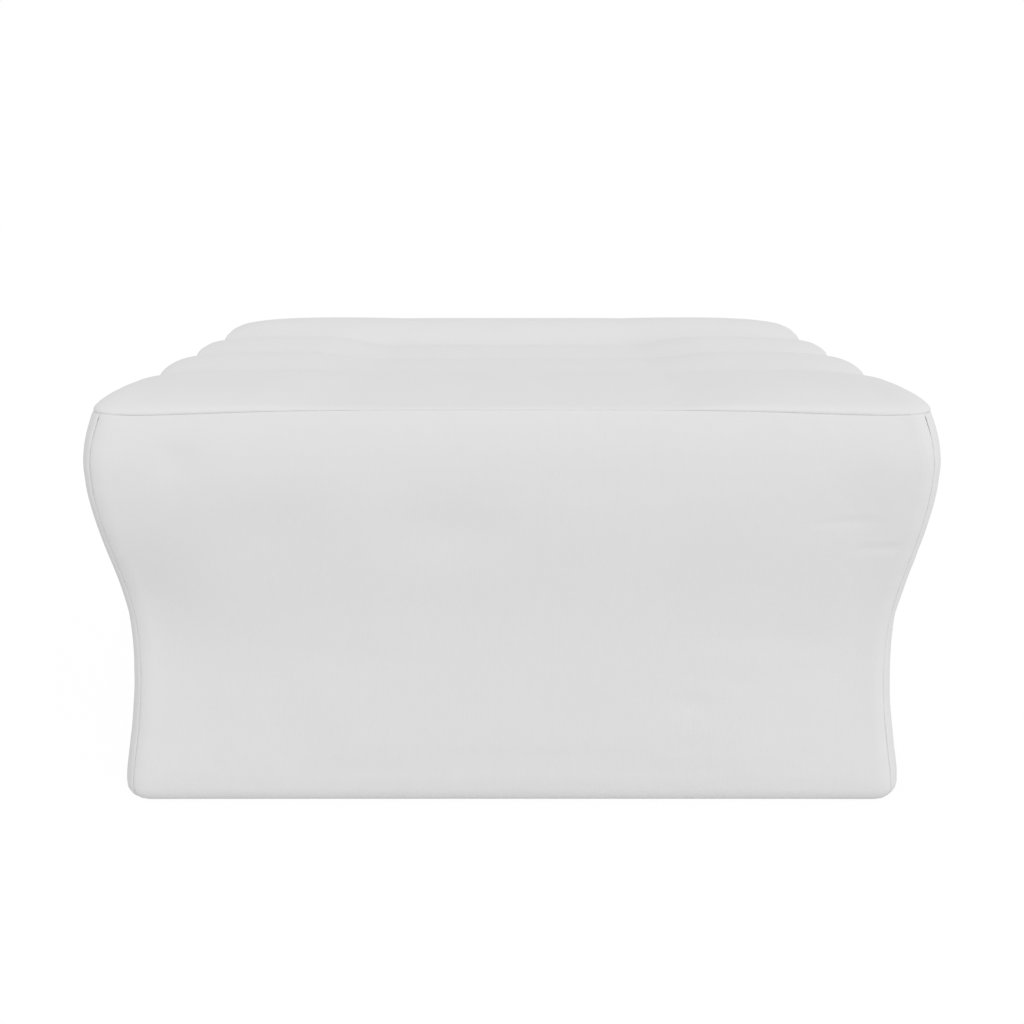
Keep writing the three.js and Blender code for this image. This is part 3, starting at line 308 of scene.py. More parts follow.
def settle(points, held=None):
    """The panel once its cloth has settled over the air under it, held at its seams and as held says."""
    picks = []
    for axis in (0, 1):
        steps = np.linalg.norm(np.diff(points, axis=axis), axis=2).mean(axis=1 - axis)
        lengths = np.concatenate([[0], np.cumsum(steps)])
        evenly = np.linspace(0, lengths[-1], max(4, round(lengths[-1] / settle_step)))
        picks.append(np.unique(np.searchsorted(lengths, evenly).clip(0, len(lengths) - 1)))
    coarse = points[np.ix_(*picks)]
    columns, rows, _ = coarse.shape
    mesh = bpy.data.meshes.new("settling_panel")
    mesh.from_pydata(coarse.reshape(-1, 3).tolist(), [], grid_faces(columns, rows).tolist())
    panel = add_object("settling_panel", mesh)
    pinned = np.zeros((columns, rows))
    pinned[[0, -1]] = pinned[:, [0, -1]] = 1
    if held is not None:
        pinned = np.maximum(pinned, held(coarse))
    pins = panel.vertex_groups.new(name="seams")
    for index in np.flatnonzero(pinned.ravel() > 0.01):
        pins.add([int(index)], float(pinned.ravel()[index]), "REPLACE")
    cloth = panel.modifiers.new("settling", "CLOTH")
    cloth.settings.quality = 6
    cloth.settings.mass = 0.15
    cloth.settings.tension_stiffness = cloth.settings.compression_stiffness = 15
    cloth.settings.bending_stiffness = 0.05
    cloth.settings.shrink_min = -0.003
    cloth.settings.vertex_group_mass = "seams"
    cloth.settings.use_pressure = True
    cloth.settings.uniform_pressure_force = 4
    cloth.settings.effector_weights.gravity = 0
    cloth.collision_settings.use_collision = False
    cloth.collision_settings.use_self_collision = False
    cloth.point_cache.frame_start, cloth.point_cache.frame_end = 1, settle_frames
    for moment in range(1, settle_frames + 1):
        bpy.context.scene.frame_set(moment)
    settled = panel.evaluated_get(bpy.context.evaluated_depsgraph_get()).to_mesh()
    places = np.empty(len(settled.vertices) * 3, np.float32)
    settled.vertices.foreach_get("co", places)
    moved = places.reshape(columns, rows, 3).astype(float) - coarse
    bpy.data.objects.remove(panel)
    bpy.context.scene.frame_set(1)
    # The panel's blown-out form is drawn already, so only the soft folds that its slack leaves are kept.
    softened = [(moved * grid_normals(coarse)).sum(axis=2)]
    for _ in range(24):
        padded = np.pad(softened[-1], 1, mode="edge")
        around = padded[:-2, 1:-1] + padded[2:, 1:-1] + padded[1:-1, :-2] + padded[1:-1, 2:]
        softened.append((around + softened[-1]) / 5)
    folds = fold_limit * np.tanh((softened[2] - softened[-1]) / fold_limit)
    to_seam = np.minimum.reduce(edge_distances(coarse))
    folds *= np.clip(to_seam / fold_fade, 0, 1) * (1 - pinned)
    for axis, pick in enumerate(picks):
        folds = resample(folds, np.interp(np.arange(points.shape[axis]), pick, np.arange(len(pick))), axis)
    return points + folds[..., None] * grid_normals(points)


def spaced(length, step, lips):
    """Distances along a length about a step apart, and at those lips' distances from its two ends."""
    start, end = lips[0], length - lips[1][::-1]
    count = max(2, round((end[0] - start[-1]) / step))
    return np.concatenate([start, np.linspace(start[-1], end[0], count + 1)[1:-1], end])


def grid_normals(points):
    """Outward unit normals of a grid of points."""
    return unit(np.cross(np.gradient(points, axis=0), np.gradient(points, axis=1)))


def edge_distances(points):
    """How far each point of a grid lies from its four edges, along the cloth: first, last, low, high."""
    distances = []
    for axis in (0, 1):
        steps = np.linalg.norm(np.diff(points, axis=axis), axis=2)
        start = np.insert(np.cumsum(steps, axis), 0, 0, axis)
        distances += [start, start.max(axis=axis, keepdims=True) - start]
    return distances


# A seam's two edges turn in together over this length, into a shallow closed groove. The top seam's is
# shallower, and faces outwards and up.
seam_lip, seam_depth, top_seam_depth, top_seam_tilt = 1.6 * MM, 0.55 * MM, 0.22 * MM, math.radians(30)


def sew(points, turned, top_edge=None):
    """Turns the edges, at those distances, into their seams. At the top seam both panels turn in alike."""
    t = np.clip(1 - np.minimum.reduce(turned) / seam_lip, 0, 1)
    normals = grid_normals(points)
    turned_in = seam_depth * (1 - np.sqrt(1 - t**2))
    if top_edge is not None:
        level = unit(normals * np.array([1, 1, 0]))
        facing = level * math.cos(top_seam_tilt) + np.array([0, 0, math.sin(top_seam_tilt)])
        weight = np.clip(1 - top_edge / (1.5 * seam_lip), 0, 1)[..., None]
        normals = normals * (1 - weight) + facing * weight
        turned_in = np.where(top_edge < seam_lip, top_seam_depth * t**2, turned_in)
    return points - turned_in[..., None] * normals


def wander(places, spacing, seed):
    """A smooth random line, about -1 to 1, that changes over a spacing."""
    random = np.random.default_rng(seed)
    first = places.min() - 2 * spacing
    count = int((places.max() - first) / spacing) + 4
    t = (places - first) / spacing
    k = np.floor(t).astype(int)
    values = random.uniform(-1, 1, count + 2)
    f = eased(t - k)
    return values[k] * (1 - f) + values[k + 1] * f


def pucker(place, distance, seed, depth=0.2 * MM):
    """Small gathers that stand off a seam and fade over the cloth beside it."""
    gathers = wander(place, 5.5 * MM, seed) + 0.8 * wander(place, 17 * MM, seed + 1)
    return depth * gathers * np.exp(-distance / (7 * MM)) * np.clip(distance / (2 * MM), 0, 1)


def finish_mesh(name, vertices, faces, places):
    """An object with smooth faces, whose points have places on the flat cloth."""
    mesh = bpy.data.meshes.new(name)
    mesh.from_pydata(vertices.tolist(), [], faces)
    corners = np.empty(len(mesh.loops), np.int32)
    mesh.loops.foreach_get("vertex_index", corners)
    mesh.uv_layers.new(name="cloth").uv.foreach_set("vector", places[corners].ravel().astype(np.float32))
    mesh.polygons.foreach_set("use_smooth", np.ones(len(mesh.polygons), bool))
    mesh.update()
    return add_object(name, mesh)


def cloth_mesh(name, points, texture_places, thickness=1.4 * MM):
    """A closed sheet of cloth from a grid of points on its outer face."""
    columns, rows, _ = points.shape
    inner = points - thickness * grid_normals(points)
    count = columns * rows
    outer_faces = grid_faces(columns, rows)
    inner_faces = outer_faces[:, ::-1] + count
    rim = np.concatenate(
        [
            np.arange(columns) * rows,
            (columns - 1) * rows + np.arange(1, rows),
            (np.arange(columns - 1) * rows + rows - 1)[::-1],
            np.arange(1, rows - 1)[::-1],
        ]
    )
    following = np.roll(rim, -1)
    rim_faces = np.stack([rim, rim + count, following + count, following], -1)
    vertices = np.concatenate([points.reshape(-1, 3), inner.reshape(-1, 3)])
    faces = np.concatenate([outer_faces, inner_faces, rim_faces]).tolist()
    return finish_mesh(name, vertices, faces, np.concatenate([texture_places.reshape(-1, 2)] * 2))


# Brushed polyester knit: pale grey, quite matt, with a short nap that softens it and hides the stitches. The
# wales are about 0.6 mm apart on the real cloth, and are drawn at 1.1 mm so that they show at all.
knit = new_material(
    "brushed polyester knit",
    "#dddddd",
    0.95,
    Sheen_Weight=0.12,
    Sheen_Roughness=0.6,
    Specular_IOR_Level=0.2,
)


def work_in(material, pattern, tints=None, relief=None, roughness=None):
    """Works a pattern into a finish: its two tints, its relief (strength, height) or its two roughnesses."""
    made = {}
    if tints:
        mix = {"A": linear(tints[0]), "B": linear(tints[1])}
        made["Base Color"] = add_node(material, "Mix", {"data_type": "RGBA"}, {"Factor": pattern}, **mix)
    if relief:
        size = {"Strength": relief[0], "Distance": relief[1]}
        made["Normal"] = add_node(material, "Bump", {}, {"Height": pattern}, **size)
    if roughness:
        ends = {"To_Min": roughness[0], "To_Max": roughness[1]}
        made["Roughness"] = add_node(material, "MapRange", {}, {"Value": pattern}, **ends)
    for socket, node in made.items():
        output = node.outputs["Normal" if socket == "Normal" else "Result"]
        material.node_tree.links.new(output, material.node_tree.nodes["Principled BSDF"].inputs[socket])


wale = 1.1 * MM
cloth_place = add_node(knit, "UVMap", {"uv_map": "cloth"}).outputs["UV"]
wales, courses = [
    add_node(
        knit,
        "TexWave",
        {"bands_direction": direction},
        {"Vector": cloth_place},
        Scale=math.pi / 10 / spacing,
        Distortion=distortion,
        Detail=1.0,
    ).outputs["Fac"]
    for direction, spacing, distortion in (("X", wale, 1.2), ("Y", 0.8 * wale, 1.6))
]
stitches = add_node(knit, "Math", {"operation": "MULTIPLY"}, {0: wales, 1: courses}).outputs["Value"]
nap = add_node(knit, "TexNoise", {}, {"Vector": cloth_place}, Scale=0.7 / MM, Detail=3.0, Roughness=0.6)
surface = add_node(knit, "Math", {"operation": "ADD"}, {0: stitches, 1: nap.outputs["Fac"]})
work_in(knit, surface.outputs["Value"], relief=(0.12, 0.12 * MM))
shading = add_node(knit, "TexNoise", {}, {"Vector": cloth_place}, Scale=0.03 / MM, Detail=4.0)
work_in(knit, shading.outputs["Fac"], tints=("#dcdcdc", "#dedede"))


def belongs(piece, material, slot, *nodes, body="pillow", fill=None):
    """A piece's material, body and the CAD nodes it stands for. The slot, and the fill where it is padded,
    are not used.
    """
    piece.data.materials.append(material)
    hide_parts(*nodes)
    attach(piece, body)
    return piece


shares = np.linspace(0, 1, 801)
profile_line = np.stack(wall_profile(shares, waist_inset, seam_height), -1)
profile_lengths = lengths_along(profile_line)
lip_rows = np.array([0, 0.25, 0.55, 0.9, 1.3, 1.8, 2.5, 3.5]) * MM


def side_reach(side):
    """How far a side's cloth reaches from its middle to the corner seam, along the cloth."""
    half, seam_turn = sides[side][2], sides[side][5]
    return half - corner_radius - seam_inset + seam_turn * corner_radius


def wall_panel(name, side, seed, reach=(-1, 1), heights=(0, 1), press=None, step=2.5 * MM):
    """A panel of a side, or part of one: how far it reaches along the side, and its shares of the profile."""
    start, end = [share * side_reach(side) for share in reach]
    along = start + spaced(end - start, step, (lip_rows, lip_rows))
    first, last = np.interp(heights, shares, profile_lengths)
    climb = spaced(last - first, step, (lip_rows, lip_rows))
    share = np.interp(first + climb, profile_lengths, shares)
    points = settle(pull_ends(wall_points(side, along, share)))
    to_edges = to_first, to_last, _, to_high = edge_distances(points)
    inward = pucker(climb, np.minimum(to_first, to_last), seed) + pucker(along, to_high.T, seed + 2).T
    if press:
        inward += press(points) * np.clip(np.minimum.reduce(to_edges) / (9 * MM), 0, 1)
    points = points - inward[..., None] * grid_normals(points)
    points = sew(points, edge_distances(points), to_high if heights[1] == 1 else None)
    return cloth_mesh(name, points, np.stack(np.meshgrid(along, climb, indexing="ij"), -1))


# Where the front wall has been pressed: across, height, reach across, reach up, tilt, depth.
front_dents = [
    (-139, 160, 10, 8, 0, 1.0),
    (-103, 128, 24, 19, 0.2, 1.4),
    (-27, 130, 22, 14, 0.1, 1.6),
    (79, 48, 11, 5, 0, 0.5),
    (99, 59, 10, 5, -0.2, 0.3),
    (79, 27, 11, 5, 0, 0.3),
    (-94, 30, 13, 18, 0.5, 0.6),
    (-150, 104, 14, 30, -0.3, 0.8),
    (144, 138, 28, 14, 0, 0.8),
]
# Fine creases in it: their two ends, across and height, and their depth.
front_creases = [((124, 132.5), (156, 133.5), 0.45), ((142, 120), (168, 121.5), 0.55)]


def press_front(points):
    """How far the dents and creases press each point of the front wall inwards."""
    x, z = points[..., 0] / MM, points[..., 2] / MM
    inward = np.zeros_like(x)
    for across, height, reach_x, reach_z, tilt, depth in front_dents:
        u = (x - across) * math.cos(tilt) + (z - height) * math.sin(tilt)
        v = (z - height) * math.cos(tilt) - (x - across) * math.sin(tilt)
        inward += depth * MM * bell(u / reach_x) * bell(v / reach_z)
    for (x0, z0), (x1, z1), depth in front_creases:
        t = (x - x0) / (x1 - x0)
        above = z - (z0 + t * (z1 - z0))
        fade = np.clip(np.minimum(t, 1 - t) * 4, 0, 1)
        inward += depth * MM * fade * bell(above / 1.3)
    return inward


front_wall = wall_panel("knit_front_wall", "front", 11, press=press_front, step=1.8 * MM)
belongs(front_wall, knit, "knit_cover", "cover_front_wall", fill=0.95)


def press_softly(side, seed, count=7):
    """Shallow hollows where handling has pressed a wall: a few wide ones, in places drawn from the seed."""
    random = np.random.default_rng(seed)
    half = sides[side][2]
    places = random.uniform(-0.85, 0.85, count) * half
    heights = random.uniform(25, 165, count) * MM
    widths = random.uniform(9, 24, count) * MM
    depths = random.uniform(0.4, 1.2, count) * MM

    def press(points):
        (ax, ay) = sides[side][0]
        across = points[..., 0] * ax + points[..., 1] * ay
        inward = np.zeros_like(across)
        for place, height, width, depth in zip(places, heights, widths, depths):
            inward += depth * bell((across - place) / width) * bell((points[..., 2] - height) / width / 0.7)
        return inward

    return press


left_wall = wall_panel("knit_left_wall", "left", 21, press=press_softly("left", 5))
belongs(left_wall, knit, "knit_cover", "cover_left_wall", fill=0.95)

# The right wall has a round opening for the valve, whose weld flange holds the cloth round it flat.
valve_y, valve_z = 50 * MM, waist_height
end_pull = float(corner_pull(half_depth - valve_y - corner_radius))
valve_face = half_width - (waist_inset_middle + (waist_inset - waist_inset_middle) * end_pull)
port_radius = 20.3 * MM
right_hollows = press_softly("right", 7)


def punch_port(piece, radius):
    """Cuts the valve's round opening out of a piece on the right-hand side."""
    punch_mesh = bpy.data.meshes.new("port_punch")
    shape = bmesh.new()
    place = Matrix.Translation((valve_face, valve_y, valve_z)) @ Matrix.Rotation(math.pi / 2, 4, "Y")
    bmesh.ops.create_cone(
        shape, cap_ends=True, segments=96, radius1=radius, radius2=radius, depth=40 * MM, matrix=place
    )
    shape.to_mesh(punch_mesh)
    shape.free()
    punch = add_object("port_punch", punch_mesh)
    opening = piece.modifiers.new("opening", "BOOLEAN")
    opening.operation = "DIFFERENCE"
    opening.solver = "EXACT"
    opening.object = punch
    cut = bpy.data.meshes.new_from_object(piece.evaluated_get(bpy.context.evaluated_depsgraph_get()))
    piece.modifiers.clear()
    piece.data = cut
    bpy.data.objects.remove(punch)
    return piece


def press_right(points):
    """How far the right wall is pressed in: flat round the valve, and softly hollowed elsewhere."""
    radius = np.hypot(points[..., 1] - valve_y, points[..., 2] - valve_z)
    flat = eased((40 * MM - radius) / (14 * MM))
    return right_hollows(points) * (1 - flat) + flat * (points[..., 0] - valve_face)


right_wall = wall_panel("knit_right_wall", "right", 41, press=press_right, step=2 * MM)
right_wall = punch_port(right_wall, port_radius)
belongs(right_wall, knit, "knit_cover", "cover_right_wall", fill=0.95)

# The back wall is two panels with the zip between them, closed beyond the zip's ends by a small tab at each
# side.
slot_half = 6 * MM
zip_half_length = half_width - 32 * MM


def share_at(height):
    """The share of the profile at which a wall reaches a height, on its bare line."""
    return float(np.interp(height, profile_line[:, 1], shares))


slot_low, slot_high = share_at(waist_height - slot_half), share_at(waist_height + slot_half)
for part, seed, heights, press_seed in (("lower", 51, (0, slot_low), 9), ("upper", 61, (slot_high, 1), 15)):
    press = press_softly("back", press_seed)
    back_panel = wall_panel(f"knit_back_{part}", "back", seed, heights=heights, press=press)
    belongs(back_panel, knit, "knit_cover", f"cover_back_{part}", fill=0.95)
tab_ease = 0.3 * MM
tab_heights = share_at(waist_height - slot_half + tab_ease), share_at(waist_height + slot_half - tab_ease)
corner_start = half_width - corner_radius - seam_inset
tab_start = (zip_half_length + tab_ease) / (half_width - waist_inset - corner_radius) * corner_start
tab_start /= side_reach("back")
for side_name, tab_reach in (("left", (tab_start, 1)), ("right", (-1, -tab_start))):
    tab = wall_panel(f"knit_end_tab_{side_name}", "back", 71, tab_reach, tab_heights, step=1.5 * MM)
    belongs(tab, knit, "knit_cover", f"zip_end_tab_{side_name}", fill=0.95)

# ---- Cover: the top ----
# One panel of the same knit over the wadding. The baffles in the bladder under it make four rolls, and a
# shallow dip for the head runs across them.
crest_side, crest_dip = np.array([7.6, 6.6, 5.8, 7.9]) * MM, np.array([4.8, 2.6, 1, 7.4]) * MM
valley_side, valley_dip = np.array([3.2, 0.7, -1.8]) * MM, np.array([3.1, -1.8, -5.8]) * MM
dip_inner, dip_outer = half_width - 115 * MM, half_width - 70 * MM
end_round_front, end_round_back, edge_round, round_power = 30 * MM, 64 * MM, 45 * MM, 2.5


def round_off(t):
    """The cap that rounds a roll off: 1 up to t = 0, and 0 from t = 1."""
    return (1 - np.clip(t, 0, 1) ** round_power) ** (1 / round_power)


def roll_rise(x, y):
    """Height of the rolls over the top seam, before they round off at the seams."""
    dip = eased((dip_outer - np.abs(x)) / (dip_outer - dip_inner))
    roll = np.clip(np.searchsorted(roll_edges, y, side="right") - 1, 0, 3)
    share = (y - roll_edges[roll]) / (roll_edges[roll + 1] - roll_edges[roll])
    crest = crest_side[roll] + (crest_dip[roll] - crest_side[roll]) * dip
    valleys = [valley_side[k] + (valley_dip[k] - valley_side[k]) * dip for k in range(3)]
    before = np.select([roll == 0, roll == 1, roll == 2], [crest, valleys[0], valleys[1]], valleys[2])
    after = np.select([roll == 0, roll == 1, roll == 2], [valleys[0], valleys[1], valleys[2]], crest)
    arch = before + (after - before) * share + (crest - (before + after) / 2) * 4 * share * (1 - share)
    front = np.where(share < 0.5, crest, crest + (after - crest) * (2 * share - 1) ** 2)
    back = np.where(share > 0.5, crest, crest + (before - crest) * (1 - 2 * share) ** 2)
    return np.select([roll == 0, roll == 3], [front, back], arch)


# The panel is held off the seam by this much within a reach of the ends, so that no valley sinks below it.
end_swell, end_swell_reach = 1.2 * MM, 16 * MM


def top_height(x, y, depth=0.0):
    """Height of the top, or of a layer under it at a depth."""
    ease = 1.2 * MM
    rise = (roll_rise(x, y - ease) + 2 * roll_rise(x, y) + roll_rise(x, y + ease)) / 4
    end_round = np.interp(y, [-top_half_y, top_half_y], [end_round_front, end_round_back])
    over = np.maximum(0, np.abs(y) - (top_half_y - corner_radius))
    row_half = top_half_x - corner_radius + np.sqrt(np.maximum(0, corner_radius**2 - over**2))
    end_cap = round_off((np.abs(x) * top_half_x / row_half - (top_half_x - depth - end_round)) / end_round)
    edge_cap = round_off((np.abs(y) - (top_half_y - depth - edge_round)) / edge_round)
    level = seam_height + seam_rise * (1 - corner_pull(half_width - np.abs(x) - corner_radius))
    swell = seam_height + rise - depth - level
    if depth == 0:
        near_end = np.clip(1 - (top_half_x - np.abs(x)) / end_swell_reach, 0, 1)
        swell = swell + near_end * np.maximum(0, end_swell - swell)
    return level + swell * end_cap * edge_cap


def rounded_grid(half_x, half_y, radius, step_x, step_y, lips):
    """Plan places over a rounded rectangle, as a grid whose rows follow its outline."""
    across = spaced(2 * half_x, step_x, (lips, lips)) - half_x
    along = spaced(2 * half_y, step_y, (lips, lips)) - half_y
    over = np.maximum(0, np.abs(along) - (half_y - radius))
    row_half = half_x - radius + np.sqrt(np.maximum(0, radius**2 - over**2))
    x = across[:, None] * (row_half / half_x)[None, :]
    return across, along, x, along[None, :] + 0 * x


# The panel stands almost upright at the seam, so its rows there are closer in plan.
steep_rows = 3 * MM * np.linspace(0, 1, 12) ** 2.5
across, along, top_x, top_y = rounded_grid(
    top_half_x, top_half_y, corner_radius, 2.2 * MM, 1.6 * MM, steep_rows
)


def in_valleys(points):
    """How firmly the baffles hold the top: wholly along the valleys between the rolls."""
    return np.max([bell((points[..., 1] - edge) / (5 * MM)) for edge in roll_edges[1:4]], axis=0)


top_points = settle(pull_ends(np.stack([top_x, top_y, top_height(top_x, top_y)], -1)), in_valleys)
to_first, to_last, to_low, to_high = edge_distances(top_points)
top_inward = pucker(along, np.minimum(to_first, to_last), 31)
top_inward += pucker(across, np.minimum(to_low, to_high).T, 33).T
top_points = top_points - top_inward[..., None] * grid_normals(top_points)
top_edges = edge_distances(top_points)
top_points = sew(top_points, top_edges, np.minimum.reduce(top_edges))
top_panel = cloth_mesh("knit_top", top_points, np.stack([top_x, top_y], -1))
belongs(top_panel, knit, "knit_cover", "cover_top", fill=0.95)

# ---- Cover: the base ----
# A plain flat panel of the same knit, on which the pillow stands. Its corners are rounded, and it is sewn to
# the walls where they turn under at their foot.
base_inset = flare_inset + base_turn
base_half_x, base_half_y = half_width - base_inset, half_depth - base_inset
_, _, base_x, base_y = rounded_grid(base_half_x, base_half_y, corner_radius, 6 * MM, 6 * MM, lip_rows)
base_points = np.stack([base_x, base_y, np.zeros_like(base_x)], -1)[::-1]
base_points = sew(base_points, edge_distances(base_points))
base_panel = cloth_mesh("knit_base", base_points, np.stack([base_x, base_y], -1)[::-1])
belongs(base_panel, knit, "knit_cover", "cover_base", fill=0.95)

# ---- Seam bindings ----
# Woven polyester tape folded over the seam allowances inside the cover and stitched down: one strip up each
# corner, a ring under the top seam and a ring over the base seam.
binding_width, binding_thickness = 6 * MM, 1.6 * MM
cover_thickness = 2 * MM


def face_outwards(mesh):
    """Turns the faces of a closed mesh outwards."""
    tidy = bmesh.new()
    tidy.from_mesh(mesh)
    bmesh.ops.recalc_face_normals(tidy, faces=tidy.faces)
    tidy.to_mesh(mesh)
    tidy.free()


def loft_faces(stations, count, closed=False):
    """Faces over rings of so many points, each ring joined to the next, with flat ends unless they close."""
    s, k = np.meshgrid(np.arange(stations if closed else stations - 1), np.arange(count), indexing="ij")
    here, ahead, beside = s * count, (s + 1) % stations * count, (k + 1) % count
    faces = np.stack([here + k, here + beside, ahead + beside, ahead + k], -1).reshape(-1, 4).tolist()
    if not closed:
        faces += [list(range(count))[::-1], list(range((stations - 1) * count, stations * count))]
    return faces


def lofted(name, rings, closed=False):
    """A skin over rings of points, each joined to the next, with flat ends unless it closes on itself."""
    stations, count, _ = rings.shape
    along, round_it = lengths_along(rings.mean(axis=1)), lengths_along(rings[0])
    places = np.stack(np.meshgrid(along, round_it, indexing="ij"), -1).reshape(-1, 2)
    piece = finish_mesh(name, rings.reshape(-1, 3), loft_faces(stations, count, closed), places)
    face_outwards(piece.data)
    return piece


def squared(wave, power):
    """A wave with its crests flattened, which turns a circle towards a square."""
    return np.sign(wave) * np.abs(wave) ** power


def swept(line, u, v, u_way, v_way):
    """The rings of a section (u, v) along a line, with each axis' own direction at each point of it."""
    return line[:, None] + u[None, :, None] * u_way[:, None] + v[None, :, None] * v_way[:, None]


def tape_strip(name, centres, out, across, width, closed=False):
    """A folded tape along a line: out is the way its width points and across is square to its faces."""
    turn = np.linspace(0, 2 * math.pi, 20, endpoint=False)
    u = width / 2 * squared(np.cos(turn), 0.4)
    v = binding_thickness / 2 * squared(np.sin(turn), 0.6)
    return lofted(name, swept(centres, u, v, out, across), closed)


# Woven polyester tape: matt, with a plain weave that shows as a fine grid. Its threads are 0.4 mm apart on
# the real tape and are drawn at 0.8 mm.
tape = new_material("woven polyester tape", "#cfd0d0", 0.85, Specular_IOR_Level=0.3)
thread = 0.8 * MM
tape_place = add_node(tape, "UVMap", {"uv_map": "cloth"}).outputs["UV"]
warp, weft = [
    add_node(
        tape,
        "TexWave",
        {"bands_direction": direction},
        {"Vector": tape_place},
        Scale=math.pi / 10 / thread,
        Distortion=0.4,
    ).outputs["Fac"]
    for direction in ("X", "Y")
]
threads = add_node(tape, "Math", {"operation": "MULTIPLY"}, {0: warp, 1: weft}).outputs["Value"]
work_in(tape, threads, tints=("#bfc1c1", "#d4d5d5"), relief=(0.5, 0.15 * MM))

binding_foot = 5.6 * MM
up_seam = np.linspace(share_at(binding_foot), 0.93, 60)
seam_insets, seam_heights = wall_profile(up_seam, waist_inset, seam_height)
for corner_name, sign_x, sign_y in (
    ("front_left", -1, -1),
    ("front_right", 1, -1),
    ("back_right", 1, 1),
    ("back_left", -1, 1),
):
    out = np.array([sign_x * math.sin(seam_turn_long), sign_y * math.cos(seam_turn_long), 0])
    centre = corner_radius - cover_thickness - 0.8 * MM - binding_width / 2
    x = sign_x * (half_width - seam_insets - corner_radius) + out[0] * centre
    y = sign_y * (half_depth - seam_insets - corner_radius) + out[1] * centre
    centres = pull_ends(np.stack([x, y, seam_heights], -1))
    out = np.tile(out, (len(centres), 1))
    across_tape = np.cross(unit(np.gradient(centres, axis=0)), out)
    strip = tape_strip(f"binding_{corner_name}", centres, out, across_tape, binding_width)
    belongs(strip, tape, "tape", f"corner_binding_{corner_name}")


def seam_loop(share):
    """The closed line round all four walls at a share of their profile, anticlockwise from above."""
    line = []
    for side in ("front", "right", "back", "left"):
        along = np.linspace(-side_reach(side), side_reach(side), 90)[:-1]
        line.append(wall_points(side, along, np.array([share]))[:, 0])
    return np.concatenate(line)


for ring_name, node, share, inward, height in (
    ("binding_top_seam", "top_seam_binding", 1.0, 4.3 * MM, -3.6 * MM),
    ("binding_base_seam", "base_seam_binding", 0.0, 2.0 * MM, 3.5 * MM),
):
    line = pull_ends(seam_loop(share))
    level_out = unit(np.cross(np.roll(line, -1, axis=0) - np.roll(line, 1, axis=0), [0, 0, 1]))
    centres = line - inward * level_out + np.array([0, 0, height])
    upright = np.tile([0.0, 0.0, 1.0], (len(line), 1))
    ring = tape_strip(ring_name, centres, level_out, upright, binding_width - cover_thickness, closed=True)
    belongs(ring, tape, "tape", node)

# ---- Wadding pad ----
# A sheet of bonded polyester wadding under the top panel, which softens the rolls. It is 6 mm thick, follows
# the film under it and thins out towards its edges.
pad_depth, pad_thickness = 2.9 * MM, 6 * MM
pad_inset = seam_inset + binding_width + 1.3 * MM
gentle_rows = 5 * MM * np.linspace(0, 1, 8) ** 2
pad_half_x, pad_half_y, pad_corner = half_width - pad_inset, half_depth - pad_inset, 28 * MM
_, along, pad_x, pad_y = rounded_grid(pad_half_x, pad_half_y, pad_corner, 4 * MM, 4 * MM, gentle_rows)
pad_points = pull_ends(np.stack([pad_x, pad_y, top_height(pad_x, pad_y, pad_depth)], -1))
to_rim = np.minimum.reduce(edge_distances(pad_points))
fullness = np.sqrt(np.clip(1 - np.clip(1 - to_rim / (8 * MM), 0, 1) ** 2, 0.03, 1))
loft_noise = 0.25 * MM * wander(pad_x[:, 0], 11 * MM, 81)[:, None] * wander(along, 9 * MM, 82)[None, :]
pad_points[..., 2] -= pad_thickness * (1 - fullness) / 2 - loft_noise
pad = cloth_mesh("wadding", pad_points, np.stack([pad_x, pad_y], -1), (pad_thickness * fullness)[..., None])

# Bonded polyester wadding: bright white, quite matt, its crimped fibres showing as a fine random fuzz.
wadding = new_material("bonded polyester wadding", "#f1f1ee", 1.0, Sheen_Weight=0.3)
wadding_place = add_node(wadding, "TexCoord").outputs["Object"]
fibres = add_node(
    wadding, "TexNoise", {}, {"Vector": wadding_place}, Scale=0.45 / MM, Detail=6.0, Distortion=2.5
)
work_in(wadding, fibres.outputs["Fac"], tints=("#e2e2de", "#fafaf8"), relief=(0.8, 0.6 * MM))
belongs(pad, wadding, "wadding", "wadding_pad", fill=0.5)

# ---- Bladder ----
# An air bladder of polyurethane film: a top, a side band and a base, heat welded at their edges. Three
# I-beams of the same film are welded between the top and the base, and draw the top down into four rolls.
film_thickness, film_corner = 0.8 * MM, 28 * MM
bladder_edge, bladder_back_room = seam_inset + 1.3 * MM, 6.5 * MM
bladder_x, bladder_front = half_width - bladder_edge, half_depth - bladder_edge
bladder_back = bladder_front - bladder_back_room
film_depth = pad_depth + pad_thickness + 0.9 * MM
bladder_level = seam_height - 10.5 * MM
base_film = 4.6 * MM

# Heat-welded polyurethane film: translucent grey with a soft shine, faintly embossed so that it doesn't
# cling.
film = new_material(
    "embossed polyurethane film", "#c9cdd0", 0.38, IOR=1.5, Transmission_Weight=0.25
)
film_place = add_node(film, "TexCoord").outputs["Object"]
emboss = add_node(film, "TexVoronoi", {}, {"Vector": film_place}, Scale=0.5 / MM)
work_in(film, emboss.outputs["Distance"], relief=(0.3, 0.1 * MM))
cloudy = add_node(film, "TexNoise", {}, {"Vector": film_place}, Scale=0.02 / MM, Detail=2.0)
work_in(film, cloudy.outputs["Fac"], tints=("#c3c8cb", "#d0d4d6"))


def bladder_height(x, y):
    """Height of the film's top, which rounds off to the weld at its edges."""
    end_round = np.interp(y, [-top_half_y, top_half_y], [end_round_front, end_round_back])
    half_y = np.where(y < 0, bladder_front, bladder_back)
    end_cap = round_off((np.abs(x) - (bladder_x - end_round)) / end_round)
    edge_cap = round_off((np.abs(y) - (half_y - edge_round)) / edge_round)
    return bladder_level + (seam_height + roll_rise(x, y) - film_depth - bladder_level) * end_cap * edge_cap


